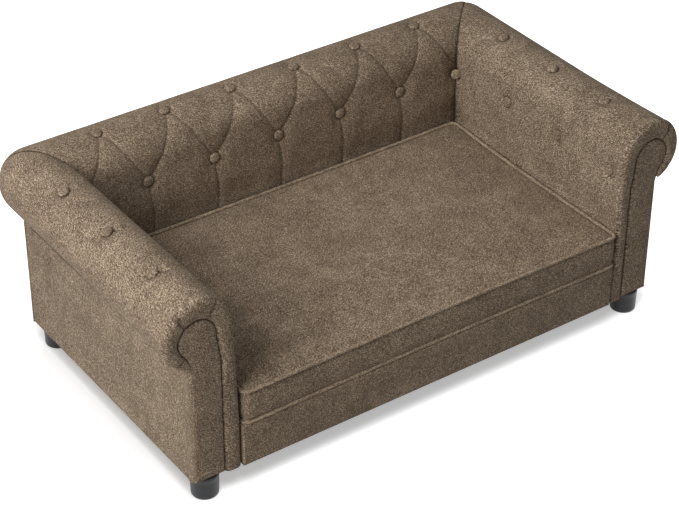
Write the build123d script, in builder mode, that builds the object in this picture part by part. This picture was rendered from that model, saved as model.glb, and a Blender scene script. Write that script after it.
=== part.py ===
"""Dog sofa bed with rolled arms, a diamond-tufted back and a loose boxed cushion.

Millimetres. +X runs along the sofa, +Y to its back and +Z up. The origin lies on the floor,
midway along the length and the depth.
"""
from build123d import *
from math import acos, asin, atan2, cos, degrees, hypot, pi, sin, sqrt
import os

# Overall sizes
length = 1000
depth = 576
leg_height = 42
seat_height = 120
roll_radius = 59
roll_height = 321
wall_run = 66
arm_wall_out = 23
back_wall_out = 10
arm_set_back = 3

# Cloth, foam and board
cloth = 2
lay_gap = 0.3
seam_gap = 0.4
padding = 17
liner = 3
ply = 15
rail_thick = 18
outer_panel = 4
overrun = 10
nose_radius = 12

# Tufting
button_radius = 10
button_rim = 1.5
button_crown = 4
bowl_radius = 43
crest_sink = 7
face_sink = 8
corner_sink = 9
corner_bowl = 22
back_pitch = 130
crest_count = 6
face_count = 5
face_button_height = 284
arm_pitch = 136
arm_crest_first = 100
arm_face_first = 27
arm_count = 3
arm_button_height = 292
fold_width = 7
fold_depth = 5
fold_steps = 6

# Facing panel of an arm
eye_across = 4.3
eye_drop = 6.5
eye_radius = 32.5
facing_wall = 34.2
facing_knee = 250
facing_thick = 9
facing_recess = 2
facing_edge = 2.5

# Frame of the arms and the back
bottom_board = 18
low_rail_height = 50
tack_rail_height = 30
tack_rail_top = 255
head_rail_width = 40
head_rail_lift = 9
mid_rib_y = -30
back_rib_pitch = 258

# Seat base
base_gap = 0.3
base_lip = 2
deck_thick = 9
apron_foam = 7.4
apron_return = 24
apron_round = 6
slat_width = 60
slat_pitch = 180
slat_count = 3
corner_block = 45
dust_sheet = 1

# Legs and fasteners
leg_radius = 23.5
leg_foot_radius = 22.5
leg_round = 4.5
leg_across = 432
leg_front_y = -261
leg_rear_y = 213
stud_radius = 4
stud_in_leg = 20
stud_in_board = 13
insert_radius = 5.5
insert_length = 15
fit_gap = 0.2
bolt_radius = 4
bolt_head_radius = 6.5
bolt_head = 5
bolt_tail = 10
bolt_height = 80
nut_flange_radius = 10
nut_flange = 1.5
nut_barrel_radius = 5
nut_barrel = 8
arm_bolt_pitch = 260
arm_bolt_middle = -50
back_bolt_pitch = 250

# Cushion
cushion_gap = 1
cushion_top = 186
cushion_corner = 18
cushion_draw = 2.5
welt_radius = 2.5
band_inset = 4
crown_reach = 170
crown_reach_shares = (0.21, 0.59, 1)
crown_rise = 7.6
crown_rise_shares = (0.6, 0.9, 1)
crown_corner = 30
zip_length = 600
zip_tape_width = 20
zip_tape = 1.2
zip_tape_depth = 0.8
zip_chain_width = 5
zip_chain = 1.6
zip_stop = 4
slider_length = 10
slider_plate = 1.1
slider_flange = 1.4
tab_length = 24
tab_width = 6
tab_thick = 0.9
tab_hole = 1.5

quarter_turn = 90
corner_sweep = 50

# Places worked out from the sizes above
arm_axis = length / 2 - roll_radius
back_axis = depth / 2 - roll_radius
arm_front = arm_set_back - depth / 2
arm_skin_out = arm_wall_out - outer_panel - lay_gap
back_skin_out = back_wall_out - outer_panel - lay_gap
board_front = arm_front + facing_recess + facing_thick + lay_gap
foam_inset = cloth + lay_gap
rib_inset = padding + liner + lay_gap
low_rail_foot = leg_height + bottom_board
base_foot = leg_height + base_lip + lay_gap
deck_top = seat_height - cloth - lay_gap
deck_foot = deck_top - deck_thick
rail_top = deck_foot - base_gap
cushion_half = arm_axis - wall_run - cushion_gap
cushion_rear = back_axis - wall_run - cushion_gap
cushion_front = -depth / 2
cushion_foot = seat_height + lay_gap
arm_plane = Plane(origin=(arm_axis, back_axis, 0), x_dir=(1, 0, 0), z_dir=(0, -1, 0))
back_plane = Plane(origin=(-arm_axis, back_axis, 0), x_dir=(0, 1, 0), z_dir=(1, 0, 0))
corner_line = Axis((arm_axis, back_axis, 0), (0, 0, 1))
lean = pi / 2 - atan2(roll_height - seat_height, wall_run) - asin(
    roll_radius / hypot(roll_height - seat_height, wall_run)
)

os.makedirs("parts", exist_ok=True)


def finish(builder, name):
    """Label a finished sub-part and write its STEP file."""
    builder.part.label = name
    export_step(builder.part, f"parts/{name}.step")


def scroll_outline(eye, radius, wall, knee, outer, foot):
    """Close one scroll outline inside a sketch: across is out from the roll's axis, up is height.

    A wall rises from foot to knee, leans until it is tangent to the circle about the eye, runs
    round that circle and drops down the outer side from the point where the circle crosses it.
    """
    run = eye[0] - wall
    rise = eye[1] - knee
    climb = atan2(rise, run) + asin(radius / hypot(run, rise))
    touch = (eye[0] - radius * sin(climb), eye[1] + radius * cos(climb))
    tuck_angle = -acos((outer - eye[0]) / radius)
    tuck = (outer, eye[1] + radius * sin(tuck_angle))
    with BuildLine() as outline:
        CenterArc(eye, radius, degrees(tuck_angle), degrees(climb - tuck_angle) + quarter_turn)
        Polyline(touch, (wall, knee), (wall, foot), (outer, foot), tuck)
    make_face(outline.edges())


def roll_outline(inset, outer, foot):
    """Close the outline of an arm or back, inset inside its cover's face."""
    scroll_outline(
        (0, roll_height), roll_radius - inset, inset - wall_run, seat_height, outer, foot
    )


def roll_half(inset):
    """Close the outer half of the roll's circle, which turns round the rear corner."""
    radius = roll_radius - inset
    with BuildLine() as outline:
        CenterArc((0, roll_height), radius, -quarter_turn, quarter_turn + quarter_turn)
        Line((0, roll_height + radius), (0, roll_height - radius))
    make_face(outline.edges())


def facing_outline(gap, outer, foot):
    """Close the outline of the panel set in the front of an arm, grown by gap."""
    eye = (eye_across, roll_height - eye_drop)
    scroll_outline(eye, eye_radius + gap, -facing_wall - gap, facing_knee, outer, foot)


def arm_body(inset, outer, foot, front):
    """Plain solid of the right arm from front to its rear corner, not yet mitred."""
    with BuildPart() as body:
        with BuildSketch(arm_plane):
            roll_outline(inset, outer, foot)
        extrude(amount=back_axis - front)
        with BuildSketch(arm_plane):
            roll_half(inset)
        revolve(axis=corner_line, revolution_arc=corner_sweep)
    return body.part


def arm_tufts():
    """Tufts of the right arm, each (point on the face, outward direction, sink, bowl radius)."""
    crest_z = roll_height + roll_radius
    face_x = arm_axis - wall_run + (arm_button_height - seat_height) * sin(lean) / cos(lean)
    tufts = []
    for place in range(arm_count):
        crest_y = arm_crest_first - arm_pitch * place
        face_y = arm_face_first - arm_pitch * place
        crest = Vector(arm_axis, crest_y, crest_z)
        face = Vector(face_x, face_y, arm_button_height)
        tufts.append((crest, Vector(0, 0, 1), crest_sink, bowl_radius))
        tufts.append((face, Vector(-cos(lean), 0, sin(lean)), face_sink, bowl_radius))
    return tufts


def corner_tuft(side):
    """Tuft in an inner corner, shared by the back and one arm."""
    out = (face_button_height - seat_height) * sin(lean) / cos(lean)
    x = side * (arm_axis - wall_run + out)
    y = back_axis - wall_run + out
    point = Vector(x, y, face_button_height)
    return (point, Vector(-side, -1, 0).normalized(), corner_sink, corner_bowl)


def back_crest_tufts():
    """Tufts along the back's crest."""
    first = -back_pitch * (crest_count - 1) / 2
    crest_z = roll_height + roll_radius
    points = [Vector(first + back_pitch * place, back_axis, crest_z) for place in range(crest_count)]
    return [(point, Vector(0, 0, 1), crest_sink, bowl_radius) for point in points]


def back_face_tufts():
    """Tufts on the back's inner wall, between the corners."""
    first = -back_pitch * (face_count - 1) / 2
    y = back_axis - wall_run + (face_button_height - seat_height) * sin(lean) / cos(lean)
    out = Vector(0, -cos(lean), sin(lean))
    points = [Vector(first + back_pitch * place, y, face_button_height) for place in range(face_count)]
    return [(point, out, face_sink, bowl_radius) for point in points]


def sink_tufts(tufts, inset):
    """Cut a bowl under every button of the part being built."""
    for point, out, sink, bowl in tufts:
        centre = point + out * (bowl - sink)
        with Locations(Plane(origin=centre, z_dir=out)):
            Sphere(bowl + inset, mode=Mode.SUBTRACT)


def set_buttons(tufts):
    """Stand one domed button in the bowl of each tuft."""
    for point, out, sink, bowl in tufts:
        lift = bowl - sqrt(bowl**2 - button_radius**2) + lay_gap
        seat = Plane(origin=point - out * (sink - lift), z_dir=out)
        dome = (button_radius**2 + button_crown**2) / (button_crown + button_crown)
        turn = asin(button_radius / dome) / 2
        shoulder = (dome * sin(turn), button_rim + button_crown - dome * (1 - cos(turn)))
        with BuildSketch(Plane(origin=seat.origin, x_dir=seat.x_dir, z_dir=-seat.y_dir)) as half:
            with BuildLine():
                Polyline((0, button_rim + button_crown), (0, 0), (button_radius, 0))
                Line((button_radius, 0), (button_radius, button_rim))
                ThreePointArc((button_radius, button_rim), shoulder, (0, button_rim + button_crown))
            make_face()
        revolve(half.sketch, axis=Axis(seat.origin, out))


def back_wall_point(across, travel, inset):
    """Point and outward direction on the back's face, travel mm down from the crest line."""
    radius = roll_radius - inset
    arc_turn = pi / 2 - lean
    turn = min(travel / roll_radius, arc_turn)
    drop = max(travel - roll_radius * arc_turn, 0)
    out = Vector(0, -sin(turn), cos(turn))
    down = Vector(0, -cos(turn), -sin(turn))
    start = Vector(across, back_axis, roll_height)
    return start + out * radius + down * drop, out, down


def cut_fold(start, stop, inset):
    """Cut one sewn fold from start to stop, each given as (across, travel)."""
    steps = fold_steps if start[1] < roll_radius else 1
    flare = (fold_width / 2 + inset) * (fold_depth + overrun) / fold_depth
    wedges = []
    for step in range(steps + 1):
        share = step / steps
        across = start[0] + (stop[0] - start[0]) * share
        travel = start[1] + (stop[1] - start[1]) * share
        point, out, down = back_wall_point(across, travel, inset)
        slope = (stop[0] - start[0]) / (stop[1] - start[1])
        path = (down + Vector(slope, 0, 0)).normalized()
        side = out.cross(path)
        with BuildSketch(Plane(origin=point, x_dir=side, z_dir=path)) as wedge:
            with BuildLine():
                Polyline((0, -fold_depth), (flare, overrun), (-flare, overrun), close=True)
            make_face()
        wedges.append(wedge.sketch)
    loft(wedges, ruled=True, mode=Mode.SUBTRACT)


def back_body(inset, outer, foot):
    """Plain solid of the back with both rear corners, not yet mitred."""
    with BuildPart() as body:
        with BuildSketch(back_plane):
            roll_outline(inset, outer, foot)
        extrude(amount=arm_axis + arm_axis)
        for side in (-1, 1):
            end = Plane(origin=(side * arm_axis, back_axis, 0), x_dir=(0, 1, 0), z_dir=(1, 0, 0))
            with BuildSketch(end):
                roll_half(inset)
            turn = Axis((side * arm_axis, back_axis, 0), (0, 0, -side))
            revolve(axis=turn, revolution_arc=corner_sweep)
    return body.part


def back_form(inset, outer, foot):
    """Tufted solid of the back: bowls under the buttons, folds sewn from crest to face."""
    plain = back_body(inset, outer, foot)
    face_travel = roll_radius * (pi / 2 - lean) + (roll_height - face_button_height) / cos(lean)
    seat_travel = roll_radius * (pi / 2 - lean) + (roll_height - leg_height) / cos(lean)
    with BuildPart() as form:
        add(plain)
        for point, _, _, _ in back_crest_tufts():
            for side in (-1, 1):
                stop = (point.X + side * back_pitch / 2, face_travel)
                cut_fold((point.X, 0), stop, inset)
        for point, _, _, _ in back_face_tufts():
            cut_fold((point.X, face_travel), (point.X, seat_travel), inset)
        sink_tufts(back_crest_tufts() + back_face_tufts(), inset)
        sink_tufts([corner_tuft(-1), corner_tuft(1)], inset)
    return form.part


def arm_form(inset, outer, foot):
    """Tufted solid of the right arm with the rounded nose round its front."""
    plain = arm_body(inset, outer, foot, arm_front + inset)
    with BuildPart() as form:
        add(plain)
        front = form.edges().group_by(Axis.Y)[0]
        rim = front.sort_by(Axis.X)[:2] + front.filter_by(GeomType.CIRCLE)
        fillet(rim, nose_radius - inset)
        sink_tufts(arm_tufts() + [corner_tuft(1)], inset)
    return form.part


def mitre(side, gap):
    """Plane of the seam between the back and an arm, gap towards the arm; TOP is the back."""
    out = Vector(-side, 1, 0).normalized()
    origin = Vector(side * arm_axis, back_axis, 0) - out * gap
    return Plane(origin=origin, z_dir=out)


# Legs: moulded, slightly tapered, with a rounded foot and a stud that screws into the arm
leg_places = {
    "leg_front_left": (-leg_across, leg_front_y),
    "leg_front_right": (leg_across, leg_front_y),
    "leg_rear_left": (-leg_across, leg_rear_y),
    "leg_rear_right": (leg_across, leg_rear_y),
}
for leg_name, (leg_x, leg_y) in leg_places.items():
    with BuildPart() as leg:
        with BuildSketch(Plane(origin=(leg_x, leg_y, 0))):
            Circle(leg_foot_radius)
        with BuildSketch(Plane(origin=(leg_x, leg_y, leg_height))):
            Circle(leg_radius)
        loft()
        fillet(leg.edges().group_by(Axis.Z)[0], leg_round)
        with BuildSketch(Plane(origin=(leg_x, leg_y, leg_height - stud_in_leg))):
            Circle(stud_radius + fit_gap)
        extrude(amount=stud_in_leg, mode=Mode.SUBTRACT)
    finish(leg, leg_name)

with BuildPart() as leg_studs:
    with BuildSketch(Plane.XY.offset(leg_height - stud_in_leg)):
        with Locations(*leg_places.values()):
            Circle(stud_radius)
    extrude(amount=stud_in_leg + stud_in_board)
finish(leg_studs, "leg_studs")

with BuildPart() as leg_inserts:
    with BuildSketch(Plane.XY.offset(leg_height)):
        with Locations(*leg_places.values()):
            Circle(insert_radius)
            Circle(stud_radius + fit_gap, mode=Mode.SUBTRACT)
    extrude(amount=insert_length)
finish(leg_inserts, "leg_inserts")

# Bolt lines that join each arm, and the back, to the seat base
arm_bolt_rows = [arm_bolt_middle - arm_bolt_pitch / 2, arm_bolt_middle + arm_bolt_pitch / 2]
back_bolt_rows = [-back_bolt_pitch, 0, back_bolt_pitch]
base_side = arm_axis - wall_run - lay_gap
base_rear = back_axis - wall_run - lay_gap
arm_rail_face = arm_axis - wall_run + rib_inset
back_rail_face = back_axis - wall_run + rib_inset
arm_bolt_start = base_side - rail_thick
back_bolt_start = base_rear - rail_thick
arm_bolt_planes = [
    Plane(origin=(arm_bolt_start, row, bolt_height), z_dir=(1, 0, 0)) for row in arm_bolt_rows
]
back_bolt_planes = [
    Plane(origin=(row, back_bolt_start, bolt_height), z_dir=(0, 1, 0)) for row in back_bolt_rows
]
arm_bolt_reach = arm_rail_face + rail_thick - arm_bolt_start
back_bolt_reach = back_rail_face + rail_thick - back_bolt_start


def drill(planes, reach, radius):
    """Cut clearance holes along the bolt lines."""
    for plane in planes:
        with BuildSketch(plane.offset(-overrun)) as hole:
            Circle(radius)
        extrude(hole.sketch, amount=reach + overrun + overrun, mode=Mode.SUBTRACT)


bolt_hole = bolt_radius + lay_gap

# Arm upholstery: foam over a bent liner, under a cloth cover whose nose wraps the front
tuck_foot = leg_height - overrun
arm_outer_form = arm_form(0, arm_skin_out, leg_height)
arm_under_form = arm_form(cloth, arm_wall_out, tuck_foot)
arm_foam_form = arm_form(foam_inset, arm_skin_out, leg_height)
arm_rib_rear = back_axis + back_skin_out
arm_rib_plane = Plane(origin=(arm_axis, 0, 0), x_dir=(1, 0, 0), z_dir=(0, -1, 0))
with BuildPart() as arm_frame_room:
    with BuildSketch(arm_rib_plane.offset(-board_front)):
        roll_outline(rib_inset - lay_gap / 2, arm_wall_out, tuck_foot)
    extrude(amount=-(arm_rib_rear - board_front + lay_gap))
    mirror(about=Plane.YZ)
arm_liner_outer = arm_body(padding, arm_skin_out, leg_height, board_front)
arm_liner_void = arm_body(padding - lay_gap, arm_wall_out, tuck_foot, board_front)
arm_liner_under = arm_body(padding + liner, arm_wall_out, tuck_foot, board_front - overrun)


def cut_facing_pocket():
    """Cut the pocket that the facing panel sits in, through to the front board."""
    pocket_plane = Plane(origin=(arm_axis, board_front, 0), x_dir=(1, 0, 0), z_dir=(0, -1, 0))
    with BuildSketch(pocket_plane) as pocket:
        facing_outline(lay_gap, arm_wall_out, tuck_foot)
    extrude(pocket.sketch, amount=board_front - arm_front + overrun, mode=Mode.SUBTRACT)


with BuildPart() as right_arm_cover:
    add(arm_outer_form)
    add(arm_under_form, mode=Mode.SUBTRACT)
    add(arm_frame_room.part, mode=Mode.SUBTRACT)
    cut_facing_pocket()
    drill(arm_bolt_planes, arm_bolt_reach, bolt_hole)
    split(bisect_by=mitre(1, seam_gap / 2), keep=Keep.BOTTOM)

with BuildPart() as right_arm_foam:
    add(arm_foam_form)
    add(arm_liner_void, mode=Mode.SUBTRACT)
    add(arm_frame_room.part, mode=Mode.SUBTRACT)
    cut_facing_pocket()
    drill(arm_bolt_planes, arm_bolt_reach, bolt_hole)
    split(bisect_by=mitre(1, seam_gap / 2), keep=Keep.BOTTOM)

with BuildPart() as right_arm_liner:
    add(arm_liner_outer)
    add(arm_liner_under, mode=Mode.SUBTRACT)
    add(arm_frame_room.part, mode=Mode.SUBTRACT)
    drill(arm_bolt_planes, arm_bolt_reach, bolt_hole)
    split(bisect_by=mitre(1, seam_gap / 2), keep=Keep.BOTTOM)

# Arm frame: scroll-shaped boards on a bottom board, tied by three rails
arm_rail_start = board_front + ply
arm_rail_stop = arm_rib_rear - ply


def arm_rib(front):
    """Extrude one scroll-shaped rib, ply thick, whose front face is at front."""
    with BuildSketch(arm_rib_plane.offset(-front)) as rib:
        roll_outline(rib_inset, arm_skin_out, low_rail_foot)
    extrude(rib.sketch, amount=-ply)


def rail_sections(inner, outer, gap):
    """Draw the three rails of an arm or the back in section, grown by gap."""
    head_foot = roll_height + head_rail_lift
    rails = [
        (inner, inner + rail_thick, low_rail_foot, low_rail_foot + low_rail_height),
        (outer - rail_thick, outer, tack_rail_top - tack_rail_height, tack_rail_top),
        (-head_rail_width / 2, head_rail_width / 2, head_foot, head_foot + rail_thick),
    ]
    for low_x, high_x, low_z, high_z in rails:
        with Locations(((low_x + high_x) / 2, (low_z + high_z) / 2)):
            Rectangle(high_x - low_x + gap + gap, high_z - low_z + gap + gap)


with BuildPart() as right_arm_bottom_board:
    board_width = arm_skin_out + wall_run - rib_inset
    board_length = arm_rib_rear - board_front
    board_middle = (arm_rail_face + board_width / 2, (board_front + arm_rib_rear) / 2, leg_height)
    with BuildSketch(Plane(origin=board_middle)):
        Rectangle(board_width, board_length)
    extrude(amount=bottom_board)
    with BuildSketch(Plane.XY.offset(leg_height)):
        with Locations((leg_across, leg_front_y), (leg_across, leg_rear_y)):
            Circle(insert_radius + fit_gap)
    extrude(amount=insert_length + lay_gap, mode=Mode.SUBTRACT)

with BuildPart() as right_arm_front_board:
    arm_rib(board_front)

with BuildPart() as right_arm_ribs:
    arm_rib(mid_rib_y)
    with BuildSketch(arm_rib_plane.offset(-mid_rib_y + overrun)):
        rail_sections(rib_inset - wall_run, arm_skin_out, fit_gap)
    extrude(amount=-ply - overrun - overrun, mode=Mode.SUBTRACT)
    arm_rib(arm_rail_stop)

with BuildPart() as right_arm_rails:
    with BuildSketch(arm_rib_plane.offset(-arm_rail_start)):
        rail_sections(rib_inset - wall_run, arm_skin_out, 0)
    extrude(amount=arm_rail_start - arm_rail_stop)
    drill(arm_bolt_planes, arm_bolt_reach, bolt_hole)

# Outer side cover: cloth over board, from the base up to the underside of the roll
with BuildPart() as right_side_cover:
    side_top = roll_height - sqrt(roll_radius**2 - (arm_wall_out - outer_panel) ** 2) - lay_gap
    side_rear = back_axis + back_wall_out - outer_panel - lay_gap
    side_front = arm_front + facing_recess
    side_middle = (arm_axis + arm_wall_out - outer_panel / 2, (side_front + side_rear) / 2, leg_height)
    with BuildSketch(Plane(origin=side_middle)):
        Rectangle(outer_panel, side_rear - side_front)
    extrude(amount=side_top - leg_height)
    front_corner = right_side_cover.edges().filter_by(Axis.Z).group_by(Axis.Y)[0].sort_by(Axis.X)[-1]
    fillet(front_corner, facing_edge)

# Facing panel: padded board in cloth, shaped like the scroll, nailed over the cover's raw edges
with BuildPart() as right_facing_panel:
    facing_front = arm_front + facing_recess
    with BuildSketch(arm_rib_plane.offset(-facing_front)):
        facing_outline(0, arm_skin_out, leg_height)
    extrude(amount=-facing_thick)
    facing_edges = right_facing_panel.edges().group_by(Axis.Y)[0]
    fillet(facing_edges.sort_by(Axis.Z)[1:], facing_edge)

# Covered buttons of the arm, one in each bowl
with BuildPart() as right_arm_buttons:
    set_buttons(arm_tufts())

arm_pieces = {
    "arm_cover": right_arm_cover,
    "arm_foam": right_arm_foam,
    "arm_liner": right_arm_liner,
    "arm_bottom_board": right_arm_bottom_board,
    "arm_front_board": right_arm_front_board,
    "arm_ribs": right_arm_ribs,
    "arm_rails": right_arm_rails,
    "side_cover": right_side_cover,
    "facing_panel": right_facing_panel,
    "arm_buttons": right_arm_buttons,
}
for piece_name, right_piece in arm_pieces.items():
    finish(right_piece, f"right_{piece_name}")
    with BuildPart() as left_piece:
        mirror(right_piece.part, about=Plane.YZ)
    finish(left_piece, f"left_{piece_name}")

# Back upholstery: as the arms, mitred at both ends and cut clear of the arms' frames
back_outer_form = back_form(0, back_skin_out, leg_height)
back_under_form = back_form(cloth, back_wall_out, tuck_foot)
back_foam_form = back_form(foam_inset, back_skin_out, leg_height)
back_liner_outer = back_body(padding, back_skin_out, leg_height)
back_liner_void = back_body(padding - lay_gap, back_wall_out, tuck_foot)
back_liner_under = back_body(padding + liner, back_wall_out, tuck_foot)


def mitre_both_ends():
    """Trim the part being built to the seams with the two arms."""
    split(bisect_by=mitre(1, -seam_gap / 2), keep=Keep.TOP)
    split(bisect_by=mitre(-1, -seam_gap / 2), keep=Keep.TOP)


with BuildPart() as back_cover:
    add(back_outer_form)
    add(back_under_form, mode=Mode.SUBTRACT)
    add(arm_frame_room.part, mode=Mode.SUBTRACT)
    drill(back_bolt_planes, back_bolt_reach, bolt_hole)
    mitre_both_ends()
finish(back_cover, "back_cover")

with BuildPart() as back_foam:
    add(back_foam_form)
    add(back_liner_void, mode=Mode.SUBTRACT)
    add(arm_frame_room.part, mode=Mode.SUBTRACT)
    drill(back_bolt_planes, back_bolt_reach, bolt_hole)
    mitre_both_ends()
finish(back_foam, "back_foam")

with BuildPart() as back_liner:
    add(back_liner_outer)
    add(back_liner_under, mode=Mode.SUBTRACT)
    add(arm_frame_room.part, mode=Mode.SUBTRACT)
    drill(back_bolt_planes, back_bolt_reach, bolt_hole)
    mitre_both_ends()
finish(back_liner, "back_liner")

# Back frame: four scroll-shaped ribs on a bottom board, tied by three rails
back_frame_half = arm_rail_face - lay_gap
rib_plane = Plane(origin=(0, back_axis, 0), x_dir=(0, 1, 0), z_dir=(1, 0, 0))
back_rail_half = back_frame_half - ply

with BuildPart() as back_ribs:
    for rib_start in (-back_rib_pitch / 2 - ply / 2, back_rib_pitch / 2 - ply / 2):
        with BuildSketch(rib_plane.offset(rib_start)):
            roll_outline(rib_inset, back_skin_out, low_rail_foot)
        extrude(amount=ply)
    with BuildSketch(rib_plane.offset(-back_rib_pitch)):
        rail_sections(rib_inset - wall_run, back_skin_out, fit_gap)
    extrude(amount=back_rib_pitch + back_rib_pitch, mode=Mode.SUBTRACT)
    for rib_start in (-back_frame_half, back_rail_half):
        with BuildSketch(rib_plane.offset(rib_start)):
            roll_outline(rib_inset, back_skin_out, low_rail_foot)
        extrude(amount=ply)
finish(back_ribs, "back_ribs")

with BuildPart() as back_bottom_board:
    with BuildSketch(Plane.XY.offset(leg_height)):
        with Locations((0, (back_rail_face + arm_rib_rear) / 2)):
            Rectangle(back_frame_half + back_frame_half, arm_rib_rear - back_rail_face)
    extrude(amount=bottom_board)
finish(back_bottom_board, "back_bottom_board")

with BuildPart() as back_rails:
    with BuildSketch(rib_plane.offset(-back_rail_half)):
        rail_sections(rib_inset - wall_run, back_skin_out, 0)
    extrude(amount=back_rail_half + back_rail_half)
    drill(back_bolt_planes, back_bolt_reach, bolt_hole)
finish(back_rails, "back_rails")

# Outer back cover: cloth over board across the whole rear, under the roll
with BuildPart() as back_outer_cover:
    rear_face = back_axis + back_wall_out
    rear_top = roll_height - sqrt(roll_radius**2 - (back_wall_out - outer_panel) ** 2) - lay_gap
    rear_half = arm_axis + arm_wall_out
    with BuildSketch(Plane(origin=(0, rear_face - outer_panel / 2, leg_height))):
        Rectangle(rear_half + rear_half, outer_panel)
    extrude(amount=rear_top - leg_height)
    rear_corners = back_outer_cover.edges().filter_by(Axis.Z).group_by(Axis.Y)[-1]
    fillet(rear_corners, facing_edge)
finish(back_outer_cover, "back_outer_cover")

with BuildPart() as back_crest_buttons:
    set_buttons(back_crest_tufts())
finish(back_crest_buttons, "back_crest_buttons")

with BuildPart() as back_face_buttons:
    set_buttons(back_face_tufts() + [corner_tuft(-1), corner_tuft(1)])
finish(back_face_buttons, "back_face_buttons")

# Seat base: a box of four rails with cross slats, glue blocks, a deck and a padded apron
apron_face = -depth / 2
front_rail_face = apron_face + cloth + apron_foam + lay_gap + lay_gap
front_rail_rear = front_rail_face + rail_thick
rear_rail_front = base_rear - rail_thick
side_rail_start = front_rail_rear + base_gap
side_rail_stop = rear_rail_front - base_gap


def slab(low, high):
    """Add a box between two opposite corners, each (x, y, z), to the part being built."""
    middle = ((low[0] + high[0]) / 2, (low[1] + high[1]) / 2, low[2])
    with BuildSketch(Plane(origin=middle)) as base:
        Rectangle(high[0] - low[0], high[1] - low[1])
    extrude(base.sketch, amount=high[2] - low[2])


with BuildPart() as base_front_rail:
    slab((-base_side, front_rail_face, base_foot), (base_side, front_rail_rear, rail_top))
finish(base_front_rail, "base_front_rail")

with BuildPart() as base_rear_rail:
    slab((-base_side, rear_rail_front, base_foot), (base_side, base_rear, rail_top))
    drill(back_bolt_planes, back_bolt_reach, bolt_hole)
finish(base_rear_rail, "base_rear_rail")

with BuildPart() as base_right_rail:
    slab(
        (base_side - rail_thick, side_rail_start, base_foot), (base_side, side_rail_stop, rail_top)
    )
    drill(arm_bolt_planes, arm_bolt_reach, bolt_hole)
finish(base_right_rail, "base_right_rail")

with BuildPart() as base_left_rail:
    mirror(base_right_rail.part, about=Plane.YZ)
finish(base_left_rail, "base_left_rail")

with BuildPart() as base_slats:
    for place in range(slat_count):
        slat_x = (place - (slat_count - 1) / 2) * slat_pitch
        slab(
            (slat_x - slat_width / 2, side_rail_start, rail_top - rail_thick),
            (slat_x + slat_width / 2, side_rail_stop, rail_top),
        )
finish(base_slats, "base_slats")

with BuildPart() as corner_blocks:
    block_x = base_side - rail_thick - base_gap
    for corner_y, run_y in ((side_rail_start, corner_block), (side_rail_stop, -corner_block)):
        for side in (-1, 1):
            corner = (side * block_x, corner_y)
            with BuildSketch(Plane.XY.offset(rail_top - corner_block)):
                with BuildLine():
                    Polyline(
                        corner,
                        (corner[0] - side * corner_block, corner_y),
                        (corner[0], corner_y + run_y),
                        close=True,
                    )
                make_face()
            extrude(amount=corner_block)
finish(corner_blocks, "corner_blocks")

with BuildPart() as seat_deck:
    slab((-base_side, front_rail_face, deck_foot), (base_side, base_rear, deck_top))
finish(seat_deck, "seat_deck")

with BuildPart() as apron_pad:
    pad_front = apron_face + cloth + lay_gap
    slab((-base_side, pad_front, base_foot), (base_side, pad_front + apron_foam, deck_top))
    pad_edges = apron_pad.edges().filter_by(Axis.X).group_by(Axis.Y)[0]
    fillet(pad_edges, apron_round - foam_inset)
finish(apron_pad, "apron_pad")

apron_top = seat_height
apron_rear = apron_face + apron_return
with BuildPart() as apron_room:
    slab(
        (-base_side - overrun, apron_face + cloth, leg_height + cloth),
        (base_side + overrun, apron_rear + overrun, apron_top - cloth),
    )
    fillet(apron_room.edges().filter_by(Axis.X).group_by(Axis.Y)[0], apron_round - cloth)

with BuildPart() as apron_cover:
    slab((-base_side, apron_face, leg_height), (base_side, apron_rear, apron_top))
    fillet(apron_cover.edges().filter_by(Axis.X).group_by(Axis.Y)[0], apron_round)
    add(apron_room.part, mode=Mode.SUBTRACT)
finish(apron_cover, "apron_cover")

with BuildPart() as deck_cover:
    slab(
        (-base_side, apron_rear + base_gap, seat_height - cloth), (base_side, base_rear, seat_height)
    )
finish(deck_cover, "deck_cover")

with BuildPart() as dust_cover:
    dust_top = base_foot - lay_gap
    slab(
        (-base_side, apron_rear + base_gap, dust_top - dust_sheet),
        (base_side, base_rear, dust_top),
    )
finish(dust_cover, "dust_cover")

# Joining hardware: round-headed bolts from inside the base into tee nuts behind the frames' rails
arm_side_bolts = arm_bolt_planes + [
    Plane(origin=(-arm_bolt_start, row, bolt_height), z_dir=(-1, 0, 0)) for row in arm_bolt_rows
]
with BuildPart() as joining_bolts:
    for planes, reach in ((arm_side_bolts, arm_bolt_reach), (back_bolt_planes, back_bolt_reach)):
        for plane in planes:
            with BuildSketch(plane.offset(-bolt_head)):
                Circle(bolt_head_radius)
            extrude(amount=bolt_head)
            with BuildSketch(plane):
                Circle(bolt_radius)
            extrude(amount=reach + bolt_tail)
finish(joining_bolts, "joining_bolts")

with BuildPart() as joining_nuts:
    for planes, reach in ((arm_side_bolts, arm_bolt_reach), (back_bolt_planes, back_bolt_reach)):
        for plane in planes:
            with BuildSketch(plane.offset(reach)):
                Circle(nut_flange_radius)
                Circle(bolt_radius + fit_gap, mode=Mode.SUBTRACT)
            extrude(amount=nut_flange)
            with BuildSketch(plane.offset(reach + nut_flange)):
                Circle(nut_barrel_radius)
                Circle(bolt_radius + fit_gap, mode=Mode.SUBTRACT)
            extrude(amount=nut_barrel)
finish(joining_nuts, "joining_nuts")

# Cushion: a boxed foam core in a zipped cloth cover, corded round its top and bottom seams
welt_top = cushion_top - welt_radius
welt_foot = cushion_foot + welt_radius


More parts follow.
